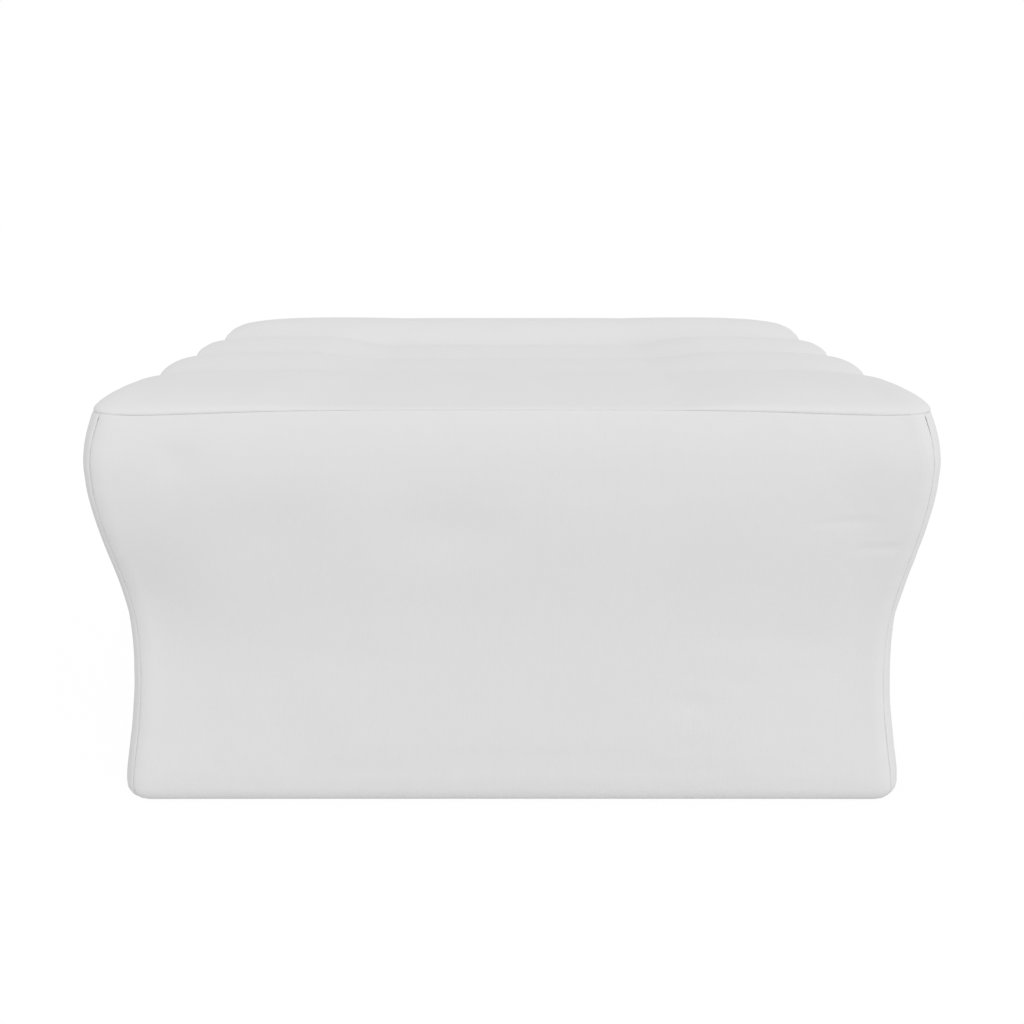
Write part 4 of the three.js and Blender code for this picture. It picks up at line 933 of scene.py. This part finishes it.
_, _, film_x, film_y = rounded_grid(bladder_x, bladder_front, film_corner, 4 * MM, 3 * MM, gentle_rows)
film_y = np.where(film_y > 0, film_y * bladder_back / bladder_front, film_y)
film_points = pull_ends(np.stack([film_x, film_y, bladder_height(film_x, film_y)], -1))
near_weld = sum(bell((film_y - edge) / (9 * MM)) for edge in roll_edges[1:4])
film_points[..., 2] -= 0.35 * MM * near_weld * (1 + wander(film_x[:, 0], 6 * MM, 91)[:, None])
film_top = cloth_mesh("film_top", film_points, np.stack([film_x, film_y], -1), film_thickness)
belongs(film_top, film, "film", "bladder_top", fill=1.0)

band_low, band_high = base_film + 1.3 * MM, bladder_level - 1.3 * MM
band_shares = np.linspace(0.155, 0.9, 44)
band = []
# The band starts and ends in the middle of the back.
for side, first, last in (
    ("back", 0, 1),
    ("left", -1, 1),
    ("front", -1, 1),
    ("right", -1, 1),
    ("back", -1, 0),
):
    length = sides[side][2] - film_corner - seam_inset + math.pi / 4 * film_corner
    band_along = np.linspace(first * length, last * length, round((last - first) * length / (4 * MM)))
    stretch = wall_points(side, band_along, band_shares, film_corner)
    band.append(stretch if last == 0 else stretch[:-1])
band = pull_ends(np.concatenate(band))
band = band - 3.2 * MM * grid_normals(band)
band[..., 1] -= eased(band[..., 1] / (60 * MM)) * bladder_back_room
low, high = band[:, :1, 2], band[:, -1:, 2]
band[..., 2] = band_low + (band[..., 2] - low) * (band_high - band_low) / (high - low)
band_length = lengths_along(band[:, 20])
creases = 0.5 * MM * wander(band_length, 9 * MM, 95)[:, None]
fade = np.exp(-(band[..., 2] - band_low) / (14 * MM)) + np.exp(-(band_high - band[..., 2]) / (14 * MM))
band = band - (creases * fade + 0.4 * MM)[..., None] * grid_normals(band)
band_places = np.stack(np.meshgrid(band_length, band[0, :, 2], indexing="ij"), -1)
film_band = punch_port(cloth_mesh("film_side_band", band, band_places, film_thickness), 15.2 * MM)
belongs(film_band, film, "film", "bladder_wall", fill=1.0)

film_base_inset = flare_inset + 5 * MM
base_film_x, base_film_y = half_width - film_base_inset, half_depth - film_base_inset - bladder_back_room / 2
_, _, film_x, film_y = rounded_grid(base_film_x, base_film_y, film_corner, 8 * MM, 8 * MM, gentle_rows)
film_y = film_y - bladder_back_room / 2
film_points = np.stack([film_x, film_y, np.full_like(film_x, base_film)], -1)[::-1]
film_foot = cloth_mesh("film_base", film_points, np.stack([film_x, film_y], -1)[::-1], film_thickness)
belongs(film_foot, film, "film", "bladder_base", fill=1.0)

web_half, flange_half, flange, beam_half = 0.6 * MM, 7 * MM, 0.9 * MM, half_width - 40 * MM
for beam_name, edge in zip(("front", "middle", "back"), roll_edges[1:4]):
    beam_x = np.linspace(-beam_half, beam_half, 71)
    head = bladder_height(beam_x, np.full_like(beam_x, edge)) - 1.7 * MM
    foot = np.full_like(head, band_low)
    right_half = [
        (flange_half, foot),
        (flange_half, foot + flange),
        (2 * web_half, foot + flange),
        (web_half, foot + 2 * flange),
        (web_half, head - 2 * flange),
        (2 * web_half, head - flange),
        (flange_half, head - flange),
        (flange_half, head),
    ]
    outline = right_half + [(-across, z) for across, z in right_half[::-1]]
    rings = np.stack([np.stack([beam_x, edge + across + 0 * beam_x, z], -1) for across, z in outline], axis=1)
    beam = lofted(f"film_baffle_{beam_name}", rings)
    beam.data.set_sharp_from_angle(angle=math.radians(40))
    belongs(beam, film, "film", f"baffle_{beam_name}")

# ---- Zip tapes and coils ----
# A number 5 coil zip across the back wall. Each side is a woven tape with a coil of nylon monofilament sewn
# along its edge, closed at both ends by a moulded stop.
zip_y = half_depth - waist_inset - cover_thickness - 0.3 * MM
for side_name, sign in (("upper", 1), ("lower", -1)):
    low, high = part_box(f"zip_tape_{side_name}")
    along = np.linspace(high[0], low[0], 190)
    climb = np.linspace(low[2], high[2], 22)
    tape_x, tape_z = np.meshgrid(along, climb, indexing="ij")
    from_coil = np.abs(tape_z - waist_height)
    bead = 0.12 * MM * bell((from_coil - 4.4 * MM) / (0.5 * MM))
    selvage = 0.15 * MM * bell((from_coil - 13.2 * MM) / (0.6 * MM))
    ripple = 0.1 * MM * wander(along, 14 * MM, 101 + sign)[:, None] * np.clip(from_coil / (13 * MM), 0, 1)
    points = np.stack([tape_x, zip_y - 0.15 * MM + bead + selvage + ripple, tape_z], -1)
    zip_tape = cloth_mesh(f"zip_tape_woven_{side_name}", points, np.stack([tape_x, tape_z], -1), 0.7 * MM)
    belongs(zip_tape, tape, "tape", f"zip_tape_{side_name}")

# Nylon monofilament: pale grey, a little translucent, with a soft shine and faint marks where the slider has
# run.
nylon = new_material(
    "nylon monofilament", "#b4b6b8", 0.42, IOR=1.53, Subsurface_Weight=0.15, Subsurface_Scale=0.5 * MM
)
nylon_place = add_node(nylon, "TexCoord").outputs["Object"]
rubbed = add_node(nylon, "TexNoise", {}, {"Vector": nylon_place}, Scale=0.9 / MM, Detail=3.0)
work_in(nylon, rubbed.outputs["Fac"], tints=("#a9acae", "#bfc1c3"), roughness=(0.34, 0.52))

coil_pitch, wire_radius, head_gap = 1.25 * MM, 0.3 * MM, 0.4 * MM
per_turn = 14
wire_turn = np.linspace(0, 2 * math.pi, 7)[:-1]
for side_name, sign in (("upper", 1), ("lower", -1)):
    low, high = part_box(f"zip_coil_{side_name}")
    turns = round((high[0] - low[0]) / coil_pitch) - 1
    angle = np.linspace(0, 2 * math.pi * turns, turns * per_turn)
    reach = (sign * (high[2] if sign > 0 else low[2]) - sign * waist_height - head_gap) / 2
    middle_z = waist_height + sign * (head_gap + reach)
    middle_y, rise_y = (low[1] + high[1]) / 2, (high[1] - low[1]) / 2 - wire_radius
    x = low[0] + wire_radius + (high[0] - low[0] - 2 * wire_radius) * angle / angle[-1]
    y = middle_y + rise_y * squared(np.sin(angle), 0.8)
    z = middle_z + sign * (reach - wire_radius) * squared(np.cos(angle), 0.8)
    line = np.stack([x, y, z], -1)
    ahead = unit(np.gradient(line, axis=0))
    side_way = unit(np.cross(ahead, [1, 0, 0]))
    third = np.cross(ahead, side_way)
    rings = swept(line, wire_radius * np.cos(wire_turn), wire_radius * np.sin(wire_turn), side_way, third)
    belongs(lofted(f"zip_coil_wound_{side_name}", rings), nylon, "zip_nylon", f"zip_coil_{side_name}")


def block(low, high):
    """A block between two corners, as (vertices, faces)."""
    vertices = [(x, y, z) for x in (low[0], high[0]) for y in (low[1], high[1]) for z in (low[2], high[2])]
    return vertices, [(0, 1, 3, 2), (4, 6, 7, 5), (0, 4, 5, 1), (2, 3, 7, 6), (0, 2, 6, 4), (1, 5, 7, 3)]


def prism(outline, low, high, place):
    """An outline of (u, v) drawn out between two levels. place turns (u, v, level) into a point."""
    return [place(u, v, level) for level in (low, high) for u, v in outline], loft_faces(2, len(outline))


def assemble(name, shapes, rounding=0.2 * MM, sharp=35):
    """One piece from closed shapes that run into each other, its edges rounded as its making leaves them.

    Edges sharper than that many degrees stay sharp in the shading, and are the ones that are rounded.
    """
    mesh = bpy.data.meshes.new(name)
    vertices, faces = [], []
    for shape_vertices, shape_faces in shapes:
        faces += [[k + len(vertices) for k in face] for face in shape_faces]
        vertices += [tuple(float(c) for c in v) for v in shape_vertices]
    mesh.from_pydata(vertices, [], faces)
    face_outwards(mesh)
    mesh.polygons.foreach_set("use_smooth", np.ones(len(mesh.polygons), bool))
    mesh.set_sharp_from_angle(angle=math.radians(sharp))
    piece = add_object(name, mesh)
    if rounding:
        bevel = piece.modifiers.new("rounded_edges", "BEVEL")
        bevel.width = rounding
        bevel.segments = 3
        bevel.limit_method = "ANGLE"
        bevel.angle_limit = math.radians(sharp)
        bevel.harden_normals = True
    return piece


for end_name in ("closed_end", "open_end"):
    low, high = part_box(f"zip_stop_{end_name}")
    waist = [(low[0] + high[0]) / 2 - 0.4 * MM, (low[0] + high[0]) / 2 + 0.4 * MM]
    bars = [
        block((low[0], low[1], low[2]), (waist[0], high[1], high[2])),
        block((waist[1], low[1], low[2]), (high[0], high[1], high[2])),
        block((low[0], low[1], low[2] + 0.5 * MM), (high[0], high[1] - 0.35 * MM, high[2] - 0.5 * MM)),
    ]
    stop = assemble(f"zip_stop_moulded_{end_name}", bars, 0.3 * MM)
    belongs(stop, nylon, "zip_nylon", f"zip_stop_{end_name}")

# ---- Zip slider and pull ----
# Die-cast zinc with a satin nickel plate. The slider's two plates are joined by a bridge and its bail holds
# the pin of the pull, which folds flat against the wall.
slider_low, slider_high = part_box("zip_slider")
pull_low, pull_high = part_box("zip_pull")
slider_middle = (slider_low[0] + slider_high[0]) / 2
coil_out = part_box("zip_coil_upper")[1][1]

# Plated zinc: a soft satin metal, its shine broken by fine tumbling marks and duller where it is handled.
plate = new_material("satin nickel-plated zinc", "#9b9ea1", 0.34, Metallic=1.0)
plate_place = add_node(plate, "TexCoord").outputs["Object"]
tumbling = add_node(plate, "TexNoise", {}, {"Vector": plate_place}, Scale=1.6 / MM, Detail=5.0)
work_in(plate, tumbling.outputs["Fac"], relief=(0.12, 0.05 * MM), roughness=(0.26, 0.46))


def rounded(outline):
    """The outline with its corners cut twice, which leaves them round."""
    for _ in range(2):
        ends = list(zip(outline, outline[1:] + outline[:1]))
        outline = [
            tuple((1 - share) * a + share * b for a, b in zip(start, end))
            for start, end in ends
            for share in (0.25, 0.75)
        ]
    return outline


def on_back(u, v, level):
    """A place on the back wall: u along X, v up from the zip's line, level outwards."""
    return (u, level, waist_height + v)


plate_half, plate_thick, flange_wide = (slider_high[2] - slider_low[2]) / 2, 1.1 * MM, 0.9 * MM
nose, tail = slider_low[0], slider_high[0]
plate_edge = [
    (nose, plate_half - 3.2 * MM),
    (nose + 3.5 * MM, plate_half - 0.8 * MM),
    (tail - 2 * MM, plate_half),
    (tail, plate_half - 2 * MM),
]
plate_outline = rounded([(u, -v) for u, v in plate_edge] + plate_edge[::-1])
outer_low = coil_out + 0.3 * MM
outer_high = outer_low + plate_thick
inner_low = slider_low[1]
slider_shapes = [
    prism(plate_outline, outer_low, outer_high, on_back),
    prism(plate_outline, inner_low, inner_low + plate_thick, on_back),
    block(
        (nose + 2 * MM, inner_low + 0.5 * MM, waist_height - 0.3 * MM),
        (nose + 6 * MM, outer_high - 0.5 * MM, waist_height + 0.3 * MM),
    ),
]
for sign in (-1, 1):
    edge, inner_edge = sign * plate_half, sign * (plate_half - flange_wide)
    flange_line = [(nose + 4 * MM, edge - sign * 0.75 * MM), (tail - 2.2 * MM, edge - sign * 0.05 * MM)]
    flange_line += [(tail - 2.2 * MM, inner_edge), (nose + 4 * MM, inner_edge - sign * 0.6 * MM)]
    slider_shapes.append(prism(flange_line, zip_y + 0.5 * MM, outer_high - 0.2 * MM, on_back))
bail_thick, bail_half = 0.9 * MM, 0.9 * MM
bail_foot, bail_top = outer_high - 0.4 * MM, slider_high[1] - bail_thick / 2
bail_reach, bail_bend = 4 * MM - bail_thick / 2, 1.5 * MM
bail_line = [(-bail_reach, bail_foot)]
for t in np.linspace(0, math.pi / 2, 7):
    bail_line.append((-bail_reach + bail_bend * (1 - math.cos(t)), bail_top - bail_bend * (1 - math.sin(t))))
bail_line += [(-u, level) for u, level in bail_line[::-1]]
bail_line = np.array([(slider_middle + u, level, waist_height) for u, level in bail_line])
bail_up = np.tile([0.0, 0.0, 1.0], (len(bail_line), 1))
bail_out = np.cross(unit(np.gradient(bail_line, axis=0)), bail_up)
turn = np.linspace(0, 2 * math.pi, 16, endpoint=False)
bail_u, bail_v = bail_thick / 2 * squared(np.cos(turn), 0.5), bail_half * squared(np.sin(turn), 0.5)
bail_rings = swept(bail_line, bail_u, bail_v, bail_out, bail_up)
slider_shapes.append((bail_rings.reshape(-1, 3).tolist(), loft_faces(len(bail_line), len(turn))))
belongs(assemble("slider_cast", slider_shapes, 0.22 * MM), plate, "zip_metal", "zip_slider", body="slider")

pin_radius, pull_half, arm_wide = 0.65 * MM, (pull_high[2] - pull_low[2]) / 2, 1.4 * MM
pin_x, pin_y = slider_middle, (pull_low[1] + pull_high[1]) / 2
arm_in = bail_half + 0.4 * MM
pull_neck = pin_x - 7 * MM
pull_end = pull_low[0]
tab_turn = np.linspace(math.pi / 2, 1.5 * math.pi, 25)
tab_outline = [(pull_neck + 1 * MM, -arm_in - arm_wide), (pull_neck + 1 * MM, arm_in + arm_wide)]
tab_outline += [(pull_neck - 2 * MM, pull_half)]
tab_outline += [(pull_end + pull_half * (1 + math.cos(t)), pull_half * math.sin(t)) for t in tab_turn]
tab_outline += [(pull_neck - 2 * MM, -pull_half)]
pin_round = np.linspace(0, 2 * math.pi, 24, endpoint=False)
pin_outline = [(pin_x + pin_radius * math.cos(t), pin_y + pin_radius * math.sin(t)) for t in pin_round]
pin_half = arm_in + arm_wide
pull_shapes = [
    prism(tab_outline, pull_low[1], pull_high[1], on_back),
    prism(pin_outline, -pin_half, pin_half, lambda u, v, level: (u, v, waist_height + level)),
]
for sign in (-1, 1):
    edges = sorted((sign * arm_in, sign * (arm_in + arm_wide)))
    arm = block(
        (pull_neck - 0.5 * MM, pull_low[1], waist_height + edges[0]),
        (pin_x + pin_radius, pull_high[1], waist_height + edges[1]),
    )
    pull_shapes.append(arm)
for rib in range(4):
    rib_x = pull_end + 4.5 * MM + rib * 1.8 * MM
    rib_line = [(rib_x - 0.35 * MM, -2.2 * MM), (rib_x + 0.35 * MM, -2.2 * MM)]
    rib_line += [(rib_x + 0.35 * MM, 2.2 * MM), (rib_x - 0.35 * MM, 2.2 * MM)]
    pull_shapes.append(prism(rib_line, pull_low[1] + 0.2 * MM, pull_high[1] + 0.25 * MM, on_back))
belongs(assemble("pull_cast", pull_shapes, 0.25 * MM), plate, "zip_metal", "zip_pull", body="pull")

# ---- Valve ----
# A two-stage flat valve of soft moulded thermoplastic. The seat is welded to the band; the release ring plugs
# into it and swings out to let the air go at once; the cap closes the mouthpiece, and a silicone flap behind
# it holds the air.
lip_high, ring_low = 0.6 * MM, 0.9 * MM
ring_high = ring_low + 2.2 * MM
plug_low = lip_high - 3 * MM
seat_inner, seat_outer, seat_lip = 12.4 * MM, 14.9 * MM, 17 * MM
ring_radius, mouth_radius, cap_radius = 15.6 * MM, 5.4 * MM, 9.2 * MM
barrel, barrel_room = 1.1 * MM, 0.3 * MM
ring_hinge_out, ring_hinge_drop = 2.6 * MM, 17.8 * MM
cap_low = ring_high + 0.3 * MM
cap_high = cap_low + 1.8 * MM
cap_hinge_out, cap_hinge_drop = ring_high + 1.4 * MM, 11.2 * MM


def turned(profile, keep=None, count=96):
    """A profile of (radius, out) turned round the valve's axis. keep moves (y, z) that a notch cuts off."""
    closed = profile[0] == profile[-1]
    rows = profile[:-1] if closed else [p for p in profile if p[0] > 0]
    vertices = []
    for radius, out in rows:
        for k in range(count):
            y, z = radius * math.cos(2 * math.pi * k / count), radius * math.sin(2 * math.pi * k / count)
            y, z = keep(y, z) if keep else (y, z)
            vertices.append((valve_face + out, valve_y + y, valve_z + z))
    return vertices, loft_faces(len(rows), count, closed)


def band_profile(inner, outer, low, high):
    """The profile of a plain ring."""
    return [(inner, low), (outer, low), (outer, high), (inner, high), (inner, low)]


def valve_block(out, y, z):
    """A block given by its reach outwards, along Y and up, from the valve's middle."""
    low = (valve_face + out[0], valve_y + y[0], valve_z + z[0])
    return block(low, (valve_face + out[1], valve_y + y[1], valve_z + z[1]))


def along_y(u, v, level):
    """A place at the valve: u outwards, v up, level along Y."""
    return (valve_face + u, valve_y + level, valve_z + v)


def along_z(u, v, level):
    """A place at the valve: u outwards, v along Y, level up."""
    return (valve_face + u, valve_y + v, valve_z + level)


def bar_outline(out, drop, radius, count=28):
    """A round bar's outline on a hinge line that lies outwards by out and off the axis by drop."""
    steps = [2 * math.pi * k / count for k in range(count)]
    return [(out + radius * math.cos(t), -drop + radius * math.sin(t)) for t in steps]


def cradle_outline(low, out, drop, before, after):
    """An ear under a hinge bar: a block with a half-round trough in its outer face."""
    trough = [math.pi / 2 + math.pi * k / 12 for k in range(13)]
    radius = barrel + barrel_room
    line = [(low, -drop - before), (out, -drop - before)]
    line += [(out + radius * math.cos(t), -drop + radius * math.sin(t)) for t in trough[::-1]]
    return line + [(out, -drop + after), (low, -drop + after)]


# Moulded thermoplastic: mid grey and satin, with the fine grain of a spark-eroded mould and faint clouds from
# the melt's flow.
moulding = new_material("spark-grained moulded thermoplastic", "#a9acae", 0.5, IOR=1.5)
moulding_place = add_node(moulding, "TexCoord").outputs["Object"]
spark = add_node(moulding, "TexNoise", {}, {"Vector": moulding_place}, Scale=2.2 / MM, Detail=2.0)
work_in(moulding, spark.outputs["Fac"], relief=(0.25, 0.06 * MM))
flow = add_node(moulding, "TexNoise", {}, {"Vector": moulding_place}, Scale=0.12 / MM, Detail=2.0)
work_in(moulding, flow.outputs["Fac"], tints=("#a4a7a9", "#afb2b4"))

weld_low, weld_high = [corner[0] - valve_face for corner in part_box("valve_weld_flange")]
weld = [(15.2 * MM, weld_low), (24 * MM, weld_low), (24 * MM, weld_high)]
for ridge in range(3):
    start = (22.6 - 2.2 * ridge) * MM
    weld += [(start, weld_high), (start - 0.4 * MM, weld_high + 0.15 * MM), (start - 0.9 * MM, weld_high)]
weld += [(15.2 * MM, weld_high), (15.2 * MM, weld_low)]
belongs(assemble("valve_flange_welded", [turned(weld)], 0.1 * MM), film, "film", "valve_weld_flange")

# The seat's lip stands just over the cloth, and an ear below it cradles the ring's hinge bar.
seat_profile = [
    (seat_inner, -8 * MM),
    (seat_outer, -8 * MM),
    (seat_outer, -0.6 * MM),
    (seat_lip, -0.6 * MM),
    (seat_lip, lip_high),
    (seat_inner + 0.5 * MM, lip_high),
    (seat_inner, lip_high - 0.5 * MM),
    (seat_inner, -8 * MM),
]
tongue_half, tongue_low = 4 * MM, ring_high - 1 * MM
ear = cradle_outline(0.9 * MM, ring_hinge_out, ring_hinge_drop, 2.4 * MM, 2.2 * MM)
ear_span, ear_foot = (-4.5 * MM, 4.5 * MM), -ring_hinge_drop - 2.4 * MM
seat_shapes = [
    turned(seat_profile),
    prism(ear, -5 * MM, -tongue_half - barrel_room, along_y),
    prism(ear, tongue_half + barrel_room, 5 * MM, along_y),
    valve_block((0.9 * MM, 1.2 * MM), ear_span, (ear_foot, -ring_hinge_drop + 2.2 * MM)),
    valve_block((1.0 * MM, ring_hinge_out), ear_span, (ear_foot, ear_foot + 1 * MM)),
    valve_block((-0.2 * MM, 1.3 * MM), (-4 * MM, 4 * MM), (-seat_lip, -seat_lip + 1.4 * MM)),
]
belongs(assemble("valve_seat_moulded", seat_shapes), moulding, "valve_moulding", "valve_seat")

# The release ring: a plug and a head round the mouthpiece, with a spider for the flap's stem, a thumb tab at
# its top, a hinge bar at its foot, and an ear at one side for the cap.
plug_radius = seat_inner - 0.5 * MM
ring_profile = [
    (mouth_radius, plug_low),
    (plug_radius, plug_low),
    (plug_radius, ring_low),
    (ring_radius, ring_low),
    (ring_radius, ring_high),
    (ring_radius - 1.4 * MM, ring_high),
    (ring_radius - 1.8 * MM, ring_high - 0.4 * MM),
    (ring_radius - 3.2 * MM, ring_high - 0.4 * MM),
    (ring_radius - 3.6 * MM, ring_high),
    (mouth_radius, ring_high),
    (mouth_radius, plug_low),
]
ring_notch = -(ring_hinge_drop - 2.8 * MM)


def clear_of_ear(y, z):
    """Cuts the ring's foot off level, so that it clears the seat's ear."""
    return (y, max(z, ring_notch)) if abs(y) < 5.6 * MM else (y, z)


spokes = []
spoke_half, spoke_start, spoke_end = 0.5 * MM, 1.2 * MM, 6.2 * MM
for k in range(3):
    t = 2 * math.pi * k / 3
    spoke = []
    for radius, side_on in (
        (spoke_start, -spoke_half),
        (spoke_start, spoke_half),
        (spoke_end, spoke_half),
        (spoke_end, -spoke_half),
    ):
        y = radius * math.sin(t) + side_on * math.cos(t)
        spoke.append((y, radius * math.cos(t) - side_on * math.sin(t)))
    spokes.append(prism(spoke, plug_low, plug_low + 1 * MM, lambda u, v, level: along_z(level, u, v)))
tongue, thumb_tab = (-tongue_half, tongue_half), (ring_radius - 1 * MM, ring_radius + 4 * MM)
ring_shapes = [
    turned(ring_profile, clear_of_ear),
    turned(band_profile(0.9 * MM, 1.8 * MM, plug_low, plug_low + 1 * MM), count=36),
    *spokes,
    valve_block((tongue_low, ring_high), tongue, (-ring_hinge_drop, -ring_radius + 2.5 * MM)),
    prism(bar_outline(ring_hinge_out, ring_hinge_drop, barrel), *tongue, along_y),
    valve_block((ring_high - 1.2 * MM, ring_high), (-5 * MM, 5 * MM), thumb_tab),
]
rib_out = ring_high - 0.2 * MM, ring_high + 0.25 * MM
for rib in range(3):
    rib_z = ring_radius + (0.8 + 1.1 * rib) * MM
    ring_shapes.append(valve_block(rib_out, (-3.6 * MM, 3.6 * MM), (rib_z, rib_z + 0.5 * MM)))
cap_ear = cradle_outline(ring_high - 0.4 * MM, cap_hinge_out, cap_hinge_drop, 2 * MM, 1.7 * MM)
cap_tongue_half, cap_tongue_low = 3.2 * MM, cap_high - 0.9 * MM
for start, end in ((-4 * MM, -3.5 * MM), (3.5 * MM, 4 * MM)):
    ring_shapes.append(prism(cap_ear, start, end, along_z))
for out, ear_top in ((ring_high + 0.1 * MM, 1.7 * MM), (cap_hinge_out, -1.4 * MM)):
    reach_y = (-cap_hinge_drop - 2 * MM, -cap_hinge_drop + ear_top)
    ring_shapes.append(valve_block((ring_high - 0.4 * MM, out), reach_y, (-3.7 * MM, 3.7 * MM)))
ring_piece = assemble("valve_ring_moulded", ring_shapes)
belongs(ring_piece, moulding, "valve_moulding", "valve_release_ring", body="release_ring")

# The cap: a dished head with a plug under it, a finger tab at one side and a hinge bar at the other.
cap_profile = [
    (0, ring_high - 1.8 * MM),
    (mouth_radius - 0.4 * MM, ring_high - 1.8 * MM),
    (mouth_radius - 0.4 * MM, cap_low),
    (cap_radius - 0.6 * MM, cap_low),
    (cap_radius, cap_low + 0.6 * MM),
    (cap_radius, cap_high - 0.4 * MM),
    (cap_radius - 0.4 * MM, cap_high),
    (cap_radius - 1.8 * MM, cap_high),
    (cap_radius - 2.6 * MM, cap_high - 0.5 * MM),
    (0, cap_high - 0.5 * MM),
]
cap_notch = -(cap_hinge_drop - 2.3 * MM)


def clear_of_cap_ear(y, z):
    """Cuts the cap off level at its hinge's side, so that it clears the ring's ear."""
    return (max(y, cap_notch), z) if abs(z) < 4.6 * MM else (y, z)


cap_tongue, finger_tab = (-cap_tongue_half, cap_tongue_half), (cap_radius - 1 * MM, cap_radius + 3 * MM)
cap_shapes = [
    turned(cap_profile, clear_of_cap_ear),
    valve_block((cap_tongue_low, cap_high), (-cap_hinge_drop, -cap_radius + 1.5 * MM), cap_tongue),
    prism(bar_outline(cap_hinge_out, cap_hinge_drop, barrel), *cap_tongue, along_z),
    valve_block((cap_high - 1.2 * MM, cap_high), finger_tab, (-3.5 * MM, 3.5 * MM)),
]
cap_piece = assemble("valve_cap_moulded", cap_shapes)
belongs(cap_piece, moulding, "valve_moulding", "valve_cap", body="cap")

# Moulded silicone: paler than the rest, soft-looking, with a light even bloom.
silicone = new_material(
    "moulded silicone", "#d7dadb", 0.42, IOR=1.41, Subsurface_Weight=0.3, Subsurface_Scale=1 * MM
)
silicone_place = add_node(silicone, "TexCoord").outputs["Object"]
bloom = add_node(silicone, "TexNoise", {}, {"Vector": silicone_place}, Scale=0.8 / MM, Detail=3.0)
work_in(silicone, bloom.outputs["Fac"], tints=("#d1d5d6", "#dee0e1"))
flap_high, flap_radius, stem_radius = plug_low - 0.3 * MM, mouth_radius + 2 * MM, 0.6 * MM
bulb_low = plug_low + 1 * MM + 0.3 * MM + 1.2 * MM
flap_profile = [
    (0, flap_high - 1 * MM),
    (flap_radius - 1 * MM, flap_high - 0.9 * MM),
    (flap_radius, flap_high - 0.5 * MM),
    (flap_radius, flap_high),
    (stem_radius, flap_high),
    (stem_radius, bulb_low),
    (1.3 * MM, bulb_low),
    (1.1 * MM, bulb_low + 0.6 * MM),
    (0.5 * MM, bulb_low + 0.9 * MM),
    (0, bulb_low + 0.9 * MM),
]
flap_piece = assemble("valve_flap_moulded", [turned(flap_profile, count=48)], 0.12 * MM)
belongs(flap_piece, silicone, "silicone", "valve_flap", body="flap")

# ---- Port binding and visible stitching ----
# The cover's opening round the valve is bound with a folded strip of knit tape, and the binding and the back
# panels' hems along the zip are held by a line of stitches in polyester thread.
bound = [
    (radius * MM, out * MM)
    for radius, out in (
        (18.1, -1.4),
        (18.6, -1.85),
        (21.4, -1.9),
        (21.9, -1.6),
        (21.4, -1.45),
        (20.2, -1.3),
        (20.2, -0.3),
        (21.3, 0.1),
        (22.0, 0.15),
        (22.1, 0.4),
        (21.5, 0.75),
        (20.3, 0.85),
        (19.0, 0.75),
        (18.2, 0.2),
        (18.0, -0.6),
        (18.1, -1.4),
    )
]
port_binding = assemble("port_binding_folded", [turned(bound)], None, 80)

# Folded strip of knit polyester: the tape's grey and as matt, its stitches showing as a fine even pebbling.
strip = new_material("folded polyester binding strip", "#cdcecf", 0.85, Specular_IOR_Level=0.3)
strip_place = add_node(strip, "TexCoord").outputs["Object"]
pebbling = add_node(strip, "TexVoronoi", {}, {"Vector": strip_place}, Scale=1.4 / MM)
work_in(strip, pebbling.outputs["Distance"], tints=("#c2c3c4", "#d2d3d4"), relief=(0.4, 0.1 * MM))
belongs(port_binding, strip, "tape", "valve_port_binding")


def stitch(middle, along_line, outward, length=2.4 * MM, radius=0.22 * MM):
    """One stitch: a short length of thread that dips into the cloth at both ends."""
    middle, along_line, outward = np.array(middle), np.array(along_line), np.array(outward)
    t = np.linspace(-1, 1, 6)[:, None]
    centres = middle + along_line * t * length / 2 + outward * (0.22 * MM * (1 - t**4) - 0.12 * MM)
    thick = radius * (1 - 0.35 * t[..., None] ** 4)
    turn = 2 * math.pi * np.arange(6)[:, None] / 6
    section = np.cos(turn) * outward + np.sin(turn) * np.cross(along_line, outward)
    return (centres[:, None] + thick * section).reshape(-1, 3).tolist(), loft_faces(6, 6)


# Polyester sewing thread: the cover's grey, a little glossier than the cloth, with its twist just showing.
sewing = new_material("twisted polyester thread", "#d0d1d2", 0.55)
sewing_place = add_node(sewing, "TexCoord").outputs["Object"]
twist = add_node(sewing, "TexNoise", {}, {"Vector": sewing_place}, Scale=3.0 / MM, Detail=1.0)
work_in(sewing, twist.outputs["Fac"], tints=("#c4c5c6", "#dbdcdd"))

ring_stitches, ring_count, stitch_radius = [], 42, 20.9 * MM
for k in range(ring_count):
    t = 2 * math.pi * k / ring_count
    y, z = valve_y + stitch_radius * math.cos(t), valve_z + stitch_radius * math.sin(t)
    ring_stitches.append(stitch((valve_face + 0.78 * MM, y, z), (0, -math.sin(t), math.cos(t)), (1, 0, 0)))
hem_stitches, hem_inset, stitch_pitch = [], 2.6 * MM, 3.1 * MM
bpy.context.view_layer.update()
for panel_name, height in (
    ("knit_back_lower", waist_height - slot_half - hem_inset),
    ("knit_back_upper", waist_height + slot_half + hem_inset),
):
    panel = bpy.data.objects[panel_name]
    for k in range(-50, 51):
        aim = Vector((k * stitch_pitch, half_depth - waist_inset, height))
        found, place, normal, _ = panel.closest_point_on_mesh(aim)
        if found and normal.y > 0.5:
            hem_stitches.append(stitch(place, (1, 0, 0), tuple(normal)))
for stitching_name, stitches in (("stitching_port", ring_stitches), ("stitching_zip", hem_stitches)):
    stitching = assemble(stitching_name, stitches, None)
    stitching.data.materials.append(sewing)
    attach(stitching, "pillow")
